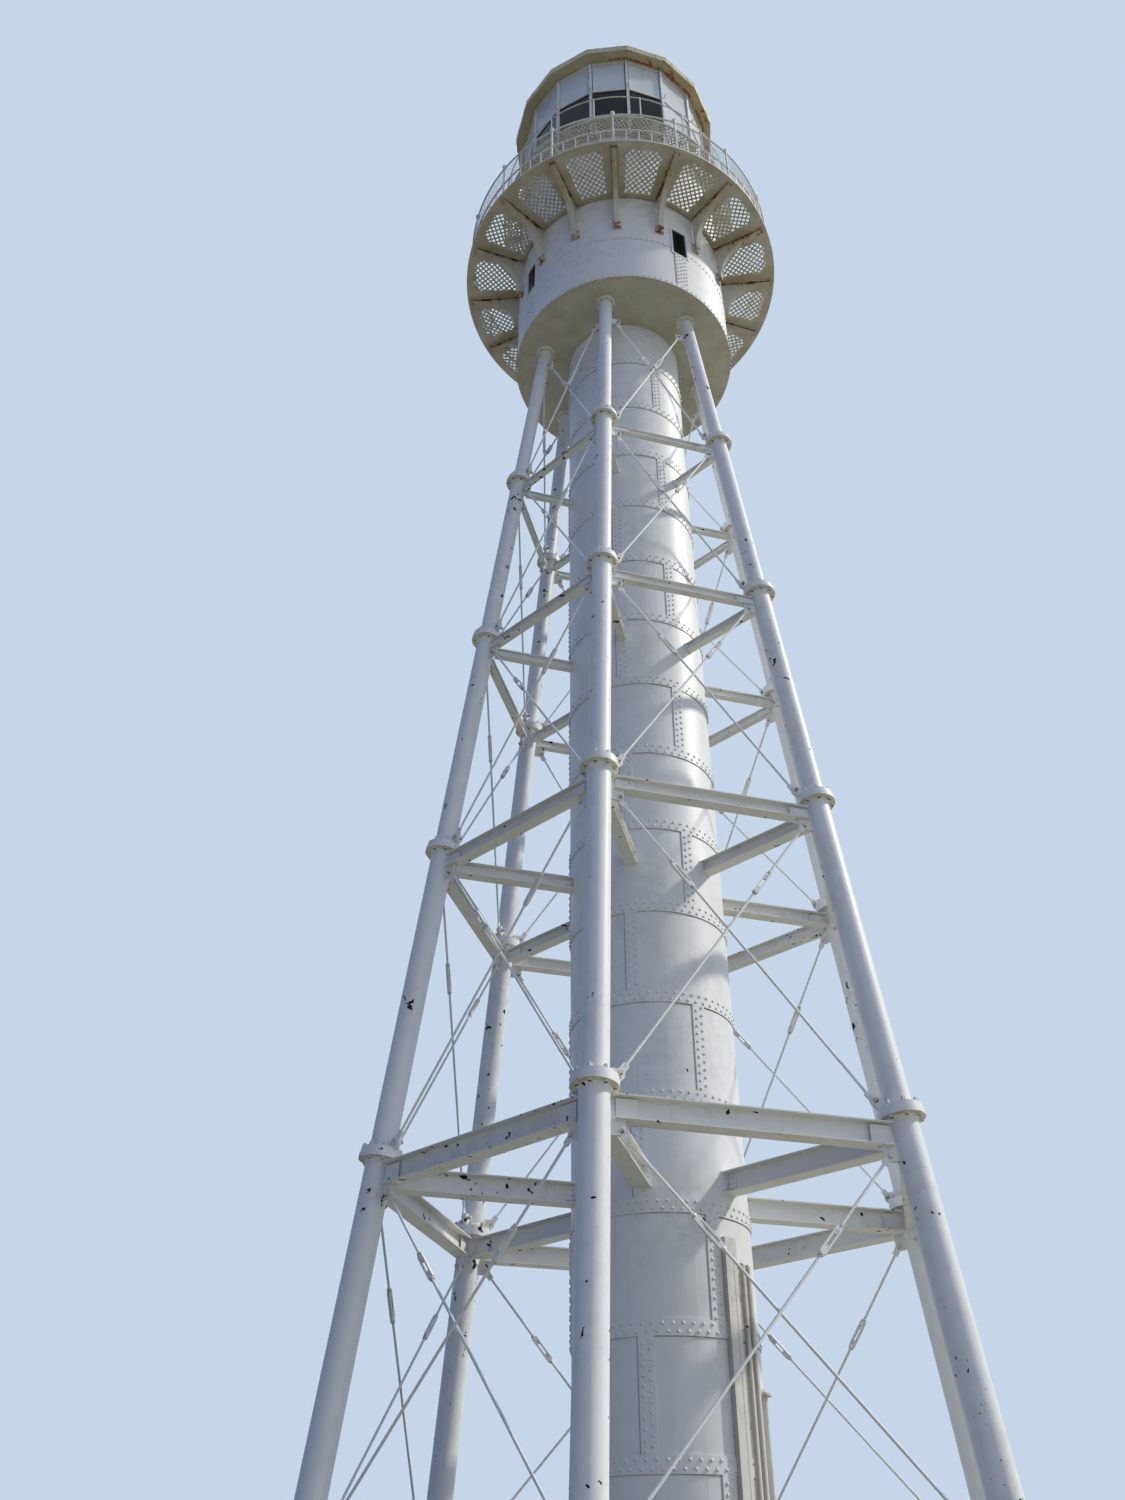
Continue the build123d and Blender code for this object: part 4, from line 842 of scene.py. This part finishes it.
BOLT = "painted_bolt_heads"
heads = level_bolts(hexagon_head(0.030, 0.018), SOFFIT, HEAD_BOLT_CIRCLE, DOWN)
anchors = level_bolts(washer_nut_and_end(0.062), 0.0, ANCHOR_CIRCLE, -DOWN)
piece("flange_bolts", flange_bolts(), BOLT)
piece("head_plate_bolts", (heads[0] + FLANGE * DOWN, heads[1]), SOFFIT_PAINT)
piece("anchor_nuts", (anchors[0] - FOOT_PLATE * DOWN, anchors[1]), BOLT)

# %% [markdown]
# ## Pins of the tie rods
#
# Each rod ends in a flat eye on one side of a lug, and a bolt goes through both. A face of the
# tower is a leaning plane, so a pin's place is worked out in that plane: across it from the column
# and up it by the height stretched with the slope.

# %% Rod pins and lock nuts
EAR_HEIGHT, HANGER_DROP, TOP_PIN_DROP, PIN_INSET = 0.115, 0.100, 0.575, 0.105
LUG_HALF, EYE_MIDDLE, EYE_FACE = 0.015, 0.0073, 0.0143
BUCKLE_SETBACK, BUCKLE_HALF = 1.130, 0.180
face_slope = RAKE * cos(pi / 6)
face_stretch = (1 + face_slope ** 2) ** 0.5


def face_spot(side, height, inset, offset):
    """Point of the face between columns 1 and 2, before it is turned to its azimuth: across by
    side (half the gap - inset), up the slope, and off the plane by offset; and the way off it."""
    half = (COLUMN_CIRCLE - RAKE * height) * 0.5
    up = np.array([0, face_slope, 1.0]) / face_stretch
    out = np.array([0, -1.0, face_slope]) / face_stretch
    foot = np.array([side * (half - inset), -COLUMN_CIRCLE * cos(pi / 6), 0.0])
    return foot + up * height * face_stretch + out * offset, out


def rod_ends(panel):
    """Lower and upper pin levels of a panel of rods."""
    high = SOFFIT - TOP_PIN_DROP
    if panel < 4:
        high = BEAM_AXES[panel] - BEAM_DEPTHS[panel] / 2 - HANGER_DROP
    return TIER_SEATS[panel] + EAR_HEIGHT, high


def rod_fittings():
    """A head on each eye, a nut behind each lug, and hexagon lock nuts at the turnbuckles."""
    head, nut = hexagon_head(0.050, 0.026), washer_nut_and_end(0.046)
    lock = lathe([(0.027, -0.012), (0.027, 0.012)], 6)
    shapes = []
    for panel, diameter in enumerate(DIAMETERS):
        low, high = rod_ends(panel)
        inset = diameter / 2 + PIN_INSET
        for side in (-1, 1):
            ends = (side, low), (-side, high)
            middle = -side * (LUG_HALF + EYE_MIDDLE)
            lower, upper = [face_spot(*end, inset, middle)[0] for end in ends]
            along = unit(upper - lower)
            locks = upper - np.outer(BUCKLE_SETBACK - BUCKLE_HALF * PAIR, along)
            spots, outs = np.swapaxes([face_spot(*end, inset, 0.0) for end in ends], 0, 1)
            outs = -side * outs
            eyes = stamped(head, spots + (LUG_HALF + EYE_FACE) * outs, outs)
            backs = stamped(nut, spots - LUG_HALF * outs, -outs)
            shapes.append(around(joined(eyes, backs, stamped(lock, locks, along)), FACE_AZIMUTHS))
    return joined(*shapes)


piece("rod_pins", rod_fittings(), BOLT)

# %% [markdown]
# ## Riveted ends of the beams
#
# Every radial strut reaches the tube between two angle cleats: one pair of legs is riveted through
# the strut's web, the other pair through the tube. At the columns the beams close over lugs, and a
# pair of fishplates clamps each beam's web to its lug.

# %% Cleat rivets and fishplates
TUBE, CLEAT = 0.977, 0.014
BEAM_WEB, BEAM_FLANGE, FILLET = 0.010, 0.013, 0.024
WEB_REACHES, LEG_SHARES, ROW_SHARES = [0.030, 0.080], [-0.33, 0.33], np.array([-0.3, 0.0, 0.3])
PLATE_SETBACK, PLATE_LENGTH, PLATE_NEAR, PLATE_FAR, BEVEL = 0.045, 0.210, 0.001, 0.011, 0.002


def beam_end_rivets():
    """Rivets through the web legs and the tube legs of every cleat."""
    shapes = []
    for axis, depth, width in zip(BEAM_AXES, BEAM_DEPTHS, BEAM_WIDTHS):
        rows = ROW_SHARES * (depth - 3 * BEAM_FLANGE)
        reach, row, side = flat(*np.meshgrid(WEB_REACHES, rows, [-1, 1]))
        spots = np.stack([side * (BEAM_WEB / 2 + CLEAT), -(TUBE + reach), axis + row], 1)
        webs = stamped(rivet, spots, np.stack([side, 0 * side, 0 * side], 1))
        across, row = flat(*np.meshgrid(LEG_SHARES, rows))
        legs = ring_spots(TUBE + CLEAT, axis + row, np.degrees(across * width / TUBE))
        shapes.append(around(joined(webs, stamped(rivet, *legs)), COLUMN_AZIMUTHS))
    return joined(*shapes)


def rounded_box(xs, ys, zs, bevel=BEVEL):
    """Box with its upright and level edges cut by a bevel: four stacked rings of eight corners."""
    (x0, x1), (y0, y1), (z0, z1) = sorted(xs), sorted(ys), sorted(zs)
    rings = []
    for z, inset in ((z0, bevel), (z0 + bevel, 0.0), (z1 - bevel, 0.0), (z1, bevel)):
        a, b, c, d = x0 + inset, x1 - inset, y0 + inset, y1 - inset
        across = [a + bevel, b - bevel, b, b, b - bevel, a + bevel, a, a]
        along = [c, c, c + bevel, d - bevel, d, d, d - bevel, c + bevel]
        rings.append(np.column_stack([across, along, np.full(8, z)]))
    return np.concatenate(rings), skin(4, 8)


def fishplates():
    """Plates each side of a lug and of the beam's web beyond it, for struts and girders."""
    plates = []
    for axis, depth, diameter in zip(BEAM_AXES, BEAM_DEPTHS, DIAMETERS):
        tall = depth - 2 * BEAM_FLANGE - FILLET
        zs = axis - tall / 2, axis + tall / 2
        lean = RAKE * depth / 2 * cos(pi / 6)
        circle = COLUMN_CIRCLE - RAKE * axis
        start = circle - diameter / 2 - PLATE_SETBACK
        half_gap = circle / 2 - diameter / 2 - PLATE_SETBACK
        for side in (-1, 1):
            sheet = np.array([LUG_HALF + PLATE_NEAR, LUG_HALF + PLATE_FAR])
            strut = rounded_box(side * sheet, (-start, PLATE_LENGTH - start), zs)
            plates.append(around(strut, COLUMN_AZIMUTHS))
            ys = side * (sheet + lean) - circle * cos(pi / 6)
            for end in (-1, 1):
                xs = end * half_gap, end * (half_gap - PLATE_LENGTH)
                plates.append(around(rounded_box(xs, ys, zs), FACE_AZIMUTHS))
    return joined(*plates)


piece("beam_end_rivets", beam_end_rivets(), STRAP, smooth=True)
piece("beam_fishplates", fishplates(), "oil_paint_on_rolled_beams")

# %% [markdown]
# ## Lattice floors
#
# The gallery floor is sixteen cast plates. Each has a solid border and a field of diagonal bars
# with clipped outer corners, so daylight shows through as bright diamonds. The border is a surface
# of two parameters: a turn about the middle of the field, and a step from the field's edge out to
# the plate's. The bars are lines cut where they meet the field's edges.

# %% Borders of the plates
DECK_LEVEL, DECK_TOP, DECK_RADIUS = 21.29, 21.33, 2.951
CATWALK_LEVEL, CATWALK_TOP, CATWALK_RADIUS = 23.40, 23.43, 2.304
PLATE_GAP, BAR_OVERLAP, BAR_STEP, TINY = 0.0008, 0.004, 0.0004, 1e-9
BAR_NUMBERS = np.arange(-20, 21)[:, None]
WELL_BEYOND = 1.2


def sides_of(outline):
    """Corners of a convex outline and the outward normals of its sides, not yet of length 1."""
    corners = np.asarray(outline, float)
    edges = np.roll(corners, -1, 0) - corners
    return corners, np.stack([edges[:, 1], -edges[:, 0]], 1)


def ray_to_lines(centre, directions, outline):
    """Distance from the centre along each direction to a convex outline, given by its corners."""
    corners, normals = sides_of(outline)
    gap = np.sum(normals * (corners - centre), 1)
    speed = directions @ normals.T
    safe = np.where(np.abs(speed) < TINY, TINY, speed)
    return np.where(speed * gap > TINY, gap / safe, np.inf).min(1)


def ray_to_circle(centre, directions, radius):
    """Nearest positive distance along each direction to a circle about the tower's axis."""
    b = directions @ centre
    root = b ** 2 - centre @ centre + radius ** 2
    reach = np.sqrt(np.maximum(root, 0))
    first = np.where(-b - reach > 0, -b - reach, -b + reach)
    return np.where((root > 0) & (first > 0), first, np.inf)


def plate_border(field, inner, outer, half_bay, low, high):
    """Solid border of one plate towards -Y: rings from the field's outline out to the plate's."""
    centre = np.array([0.0, np.mean([p[1] for p in field])])
    beyond = WELL_BEYOND * outer
    wedge = [(-beyond * tan(half_bay), -beyond), (0.0, 0.0), (beyond * tan(half_bay), -beyond)]
    turn = np.linspace(-half_bay, half_bay, 9)
    arcs = [np.stack([r * np.sin(turn), -r * np.cos(turn)], 1) for r in (inner, outer)]
    marks = np.concatenate([field, *arcs]) - centre
    angles = np.concatenate([np.arctan2(marks[:, 1], marks[:, 0]), np.linspace(-pi, pi, 33)[1:]])
    angles = np.unique(np.round(angles, 9))
    rays = np.stack([np.cos(angles), np.sin(angles)], 1)
    near = ray_to_lines(centre, rays, field)
    far = np.minimum(ray_to_lines(centre, rays, wedge), ray_to_circle(centre, rays, outer))
    far = np.minimum(far, ray_to_circle(centre, rays, inner))
    rings = []
    for reach, level in ((near, low), (far, low), (far, high), (near, high)):
        ring = centre + rays * reach[:, None]
        rings.append(np.column_stack([ring, np.full(len(ring), level)]))
    here = np.arange(len(angles))
    after = (here + 1) % len(angles)
    lower, upper = len(angles) * np.array([[0, 1, 2, 3], [1, 2, 3, 0]])[:, :, None]
    quads = np.stack([here + lower, after + lower, after + upper, here + upper], -1)
    return np.concatenate(rings), [quads.reshape(-1, 4)]


# %% Bars of the plates
def lattice_bars(field, pitch, width, low, high):
    """Bars of both families: a line n.p = c runs where it is inside every side of the field."""
    corners, normals = sides_of(field)
    normals = unit(normals)
    limits = np.sum(normals * corners, 1)
    half, deep = width / 2, (high - low) / 2
    section = np.array([(-half, -0.6 * deep), (-0.7 * half, -deep), (0.7 * half, -deep),
                        (half, -0.6 * deep), (half, deep), (-half, deep)])
    families = []
    for slant, drop in ((pi / 4, 0.0), (-pi / 4, BAR_STEP)):
        run = np.array([cos(slant), sin(slant)])
        starts = corners.mean(0) + BAR_NUMBERS * pitch * [-run[1], run[0]]
        speed = run @ normals.T
        gap = limits - starts @ normals.T
        with np.errstate(divide="ignore"):
            entry = np.where(speed < -TINY, gap / speed, -np.inf).max(1)
            leave = np.where(speed > TINY, gap / speed, np.inf).min(1)
        ends = np.stack([entry - BAR_OVERLAP, leave + BAR_OVERLAP], 1)[leave - entry > width]
        paths = starts[leave - entry > width][:, None] + ends[..., None] * run
        paths = np.concatenate([paths, np.full((*ends.shape, 1), (low + high) / 2)], -1)
        families.append(drawn(paths, section - [0, drop], -DOWN))
    return joined(*families)


def field_outline(inner, outer, half_angle, clip):
    """Six corners of a field, the two outer ones clipped, counter-clockwise seen from above."""
    x_in, x_out = inner * sin(radians(half_angle)), outer * sin(radians(half_angle))
    return [(-x_in, -inner), (-x_out, clip - outer), (clip - x_out, -outer),
            (x_out - clip, -outer), (x_out, clip - outer), (x_in, -inner)]


def lattice_floor(field, inner, outer, low, high, inset, pitch, width, turn):
    """Sixteen plates, each a border and its thinner bars, turned to their bays."""
    border = plate_border(field, inner, outer, pi / BAYS - PLATE_GAP / outer, low, high)
    bars = lattice_bars(field, pitch, width, low + inset, high - inset)
    return around(joined(border, bars), turn + BAY_STEPS)


gallery_floor = lattice_floor(
    field_outline(inner=1.985, outer=2.800, half_angle=6.7, clip=0.110), inner=1.850,
    outer=DECK_RADIUS, low=DECK_LEVEL, high=DECK_TOP, inset=0.012, pitch=0.0735, width=0.027,
    turn=HEAD_TURN,
)
catwalk_floor = lattice_floor(
    field_outline(inner=1.965, outer=2.262, half_angle=9.4, clip=0.045), inner=1.9235,
    outer=CATWALK_RADIUS, low=CATWALK_LEVEL, high=CATWALK_TOP, inset=0.008, pitch=0.060,
    width=0.023, turn=LANTERN_TURN,
)
DECK_PAINT = "cream_paint_on_lattice_floor"
piece("gallery_lattice", gallery_floor, DECK_PAINT, stands_for=["gallery_deck"])
piece("catwalk_lattice", catwalk_floor, DECK_PAINT, stands_for=["catwalk_deck"])

# %% [markdown]
# ## Seams under the gallery
#
# Neighbouring floor plates are bolted together through short flanges that hang below their edges,
# right and left of each bracket. Water sits there, and they are the rustiest lines on the tower.

# %% Joint flanges and their bolts
STRIP_NEAR, STRIP_FAR, STRIP_IN, STRIP_OUT, STRIP_DROP = 0.050, 0.056, 1.940, 2.900, 0.036
BOLT_LINE, BOLT_DROP = np.linspace(2.02, 2.84, 6), 0.019
LIP_WIDE, LIP_DEEP, LIP_CLEAR, LIP_DROP, LIP_HALF = 2.0, 1.945, 0.03, 0.020, (0.021, 0.004)


def bar_outline(across, up):
    """Outline of a flat bar: four corners, half its width and half its height away."""
    return [(-across, -up), (across, -up), (across, up), (-across, up)]


def joint_flanges():
    """Two upright strips at each plate joint, hung from the border, and a lip along the drum."""
    zs = DECK_LEVEL - STRIP_DROP, DECK_LEVEL + BEVEL
    strips = [rounded_box((side * STRIP_NEAR, side * STRIP_FAR), (-STRIP_OUT, -STRIP_IN), zs)
              for side in (-1, 1)]
    turn = np.linspace(-pi / BAYS + LIP_CLEAR, pi / BAYS - LIP_CLEAR, 9)
    height = np.full(9, DECK_LEVEL - LIP_DROP)
    path = np.stack([LIP_WIDE * np.sin(turn), -LIP_DEEP * np.cos(turn), height], -1)[None]
    lip = drawn(path, bar_outline(*LIP_HALF), unit(path * LEVEL))
    joints = around(joined(*strips), HEAD_TURN + HALF_STEPS)
    return joined(joints, around(lip, HEAD_TURN + HALF_STEPS + 180 / BAYS))


def joint_bolts():
    """A row of bolt heads through both strips of each joint."""
    bolts = []
    for side in (-1.0, 1.0):
        across, height = side * STRIP_FAR, DECK_LEVEL - BOLT_DROP
        spots = np.stack(np.broadcast_arrays(across, -BOLT_LINE, height), 1)
        bolts.append(stamped(hexagon_head(0.026, 0.014), spots, [side, 0, 0]))
    return around(joined(*bolts), HEAD_TURN + HALF_STEPS)


piece("gallery_joint_flanges", joint_flanges(), "rust_bled_paint_on_seams")
piece("gallery_joint_bolts", joint_bolts(), "rust_bled_paint_on_seams")

# %% [markdown]
# ## Wire mesh on the railing
#
# Between the posts hangs a diamond mesh of 3 mm wire at 50 mm. A wire is a straight line on the
# unrolled railing: as it climbs by s it also goes round by s, and each bay cuts it off at the
# posts and the rails. At this distance a true 3 mm would shimmer, so it is drawn 4.5 mm thick.

# %% Railing mesh
POST_CIRCLE = 2.880
MESH_CIRCLE, MESH_BEHIND = POST_CIRCLE - 0.021, 0.0035
MESH_LOW, MESH_HIGH, MESH_MARGIN = DECK_TOP + 0.02, DECK_TOP + 0.970, 0.075
MESH_PITCH, WIRE = 0.0707, 0.0045


def wire_mesh():
    """Both families of wires of one bay, wrapped on the mesh circle, then copied to every bay."""
    width = 2 * pi * MESH_CIRCLE / BAYS - MESH_MARGIN
    height = MESH_HIGH - MESH_LOW
    section = [(-WIRE / 2, -WIRE / 4), (WIRE / 2, -WIRE / 4), (0, WIRE / 2)]
    shapes = []
    for way, lift in ((1, 0.0), (-1, MESH_BEHIND)):
        first, last = -int(height / MESH_PITCH) - 1, int(width / MESH_PITCH) + 2
        start = np.arange(first, last)[:, None] * MESH_PITCH
        low, high = np.maximum(0, -start), np.minimum(height, width - start)
        climb = low + (high - low) * np.linspace(0, 1, 6)
        across = way * (start + climb - width / 2)
        spots = ring_spots(MESH_CIRCLE + lift, MESH_LOW + climb, np.degrees(across / MESH_CIRCLE))
        paths, outward = [field[(high - low > 0.01).ravel()] for field in spots]
        shapes.append(drawn(paths, section, outward))
    return around(joined(*shapes), HEAD_TURN + BAY_STEPS)


piece("railing_mesh", wire_mesh(), "zinc_wire")

# %% [markdown]
# ## Fittings on the gallery and the drum
#
# Each railing post is bolted down through its round foot, each bracket is bolted to the drum
# through its foot pad, and the drum's windows have an iron bead round the glass.

# %% Post bolts, pad bolts and window beads
FOOT_CIRCLE, FOOT_TOP = 0.045, DECK_TOP + 0.016
PAD_FACE, PAD_ACROSS, PAD_BOLTS = DRUM_WALL + 0.022, 0.055, np.array([20.30, 20.452])
BEAD_CIRCLE, BEAD_HALF, BEAD_LOW, BEAD_HIGH = DRUM_WALL - 0.003, 0.139, 19.851, 20.539


def gallery_fixings():
    """Four bolts to a post foot and four to a bracket pad."""
    turn = np.radians([45, 135, 225, 315])
    spots = np.stack([FOOT_CIRCLE * np.cos(turn), FOOT_CIRCLE * np.sin(turn), 0 * turn], 1)
    posts = stamped(hexagon_head(0.020, 0.012), spots + [0, -POST_CIRCLE, FOOT_TOP], -DOWN)
    azimuth, height = flat(np.degrees(PAIR[:, 0] * PAD_ACROSS / DRUM_WALL), PAD_BOLTS[:, None])
    pads = stamped(hexagon_head(0.034, 0.020), *ring_spots(PAD_FACE, height, azimuth))
    return around(joined(posts, pads), HEAD_TURN + HALF_STEPS)


def window_beads():
    """Thin bead round the glass of each drum window, inside the opening."""
    a, b, low, high = -BEAD_HALF, BEAD_HALF, BEAD_LOW, BEAD_HIGH
    lines = np.array([[(a, low), (b, low)], [(a, high), (b, high)],
                      [(a, low), (a, high)], [(b, low), (b, high)]])
    azimuth = np.degrees(lines[..., 0] / BEAD_CIRCLE)
    paths, outward = ring_spots(BEAD_CIRCLE, lines[..., 1], azimuth)
    outline = [(-0.006, -0.010), (0.006, -0.010), (0.004, 0.0), (-0.004, 0.0)]
    return around(drawn(paths, outline, outward), HEAD_TURN + WINDOWS)


piece("gallery_fixings", gallery_fixings(), BOLT)
piece("drum_window_beads", window_beads(), "oil_paint_on_drum_plate")

# %% [markdown]
# ## Roof, gutter and lantern trim
#
# The sheet roof is closed at its sixteen hips by rolled caps, the gutter hangs in strap brackets,
# rests on a bearing angle, its rustiest part, and each lantern corner carries an eye hook.

# %% Hip rolls and gutter irons
ROOF_TOP, EAVE_ROOF = (0.330, 27.70), (1.9795, 26.4529)
HIP_HALF, HIP_RISE, HIP_SINK, HIP_LEAN = 0.026, 0.020, 0.002, 0.4
GUTTER_FLOOR, STRAP_THICK, STRAP_UP, STRAP_IN = 26.4403, 0.006, 0.180, 0.145
STRAP_SHIFT, STRAP_ACROSS, STRAP_LAP, STRAP_BEVEL = 0.22, 0.020, 0.004, 0.001
GUTTER_APOTHEM = 2.130 * cos(pi / BAYS)
ANGLE_APOTHEM, ANGLE_LEVEL, ANGLE_HALF = 1.926, 26.4348, (0.0065, 0.015)


def hip_rolls():
    """Half-round caps from the eave to the curb along the sixteen corners."""
    share = np.linspace(0.005, 0.995, 5)
    radius, height = [low + (top - low) * share for low, top in zip(EAVE_ROOF, ROOF_TOP)]
    paths, out = ring_spots(radius, height, (LANTERN_TURN + BAY_STEPS)[:, None])
    outline = [(HIP_HALF * cos(t), HIP_RISE * sin(t) - HIP_SINK) for t in np.linspace(0, pi, 7)]
    return drawn(paths, outline, out * HIP_LEAN - DOWN)


def gutter_straps():
    """Iron straps under the gutter floor and up its face, two to a side."""
    face, low = -GUTTER_APOTHEM, GUTTER_FLOOR - STRAP_THICK
    parts = []
    for shift in (-STRAP_SHIFT, STRAP_SHIFT):
        xs = shift - STRAP_ACROSS, shift + STRAP_ACROSS
        under = (face - STRAP_LAP, face + STRAP_IN), (low, GUTTER_FLOOR)
        front = (face - STRAP_THICK, face), (low, GUTTER_FLOOR + STRAP_UP)
        parts += [rounded_box(xs, *sizes, STRAP_BEVEL) for sizes in (under, front)]
    return around(joined(*parts), LANTERN_TURN + HALF_STEPS)


def gutter_angle():
    """Bearing angle under the gutter's inner edge: a flat bar along each of the sixteen sides."""
    half = ANGLE_APOTHEM * tan(pi / BAYS) + 0.003
    path = np.array([[[x, -ANGLE_APOTHEM, ANGLE_LEVEL] for x in (-half, half)]])
    return around(drawn(path, bar_outline(*ANGLE_HALF), OUT), LANTERN_TURN + HALF_STEPS)


piece("roof_hip_rolls", hip_rolls(), "chalked_paint_on_sheet_roof", smooth=True)
piece("gutter_straps", gutter_straps(), "rusting_cream_paint_on_gutter")
piece("gutter_angle", gutter_angle(), "rusted_paint_on_gutter_angle")

# %% Hooks, screws and rivets of the lantern
HOOK_LEVEL, HOOK_RADIUS, HOOK_WIRE, SHANK = 25.28, 0.032, 0.006, (1.915, 1.94, 1.965)
SCREW_ACROSS, SCREW_FACE, SCREW_LEVELS = 0.016, 1.923, np.arange(23.52, 26.42, 0.18)
BASE_ROWS, BASE_COUNT, GALLERY_DOOR_CLEAR = (21.37, 23.33), 120, 11


def corner_hooks():
    """Eye hooks on the mullions at the transom: a short shank and a ring."""
    turn = np.linspace(0, 2 * pi * 0.85, 9)
    across, up = HOOK_RADIUS * (1 - np.cos(turn)), HOOK_RADIUS * np.sin(turn)
    ring = np.stack([0 * turn, -SHANK[-1] - across, HOOK_LEVEL + up], -1)
    shank = np.array([[0, -reach, HOOK_LEVEL] for reach in SHANK])
    section = [(HOOK_WIRE * cos(t), HOOK_WIRE * sin(t)) for t in np.arange(6) * pi / 3]
    one = joined(*[drawn(path[None], section, np.array([1.0, 0, 0])) for path in (ring, shank)])
    return around(one, LANTERN_TURN + BAY_STEPS)


def lantern_fixings():
    """Screw heads down each mullion, and rivets along the lower and upper edge of the base wall."""
    shapes = []
    screw = lathe([(0.010, 0), (0.0095, 0.003), (0.005, 0.006)], 8)
    for shift in (-SCREW_ACROSS, SCREW_ACROSS):
        spots = np.stack(np.broadcast_arrays(shift, -SCREW_FACE, SCREW_LEVELS), 1)
        shapes.append(around(stamped(screw, spots, OUT), LANTERN_TURN + BAY_STEPS))
    azimuth = 360 / BASE_COUNT * np.arange(BASE_COUNT)
    for level in BASE_ROWS:
        kept = (np.abs(azimuth - 180) > GALLERY_DOOR_CLEAR) | (level == BASE_ROWS[1])
        shapes.append(stamped(rivet, *ring_spots(DRUM_WALL, level, azimuth[kept] + LANTERN_TURN)))
    return joined(*shapes)


piece("lantern_hooks", corner_hooks(), BOLT)
piece("lantern_fixings", lantern_fixings(), "oil_paint_on_lantern", smooth=True)
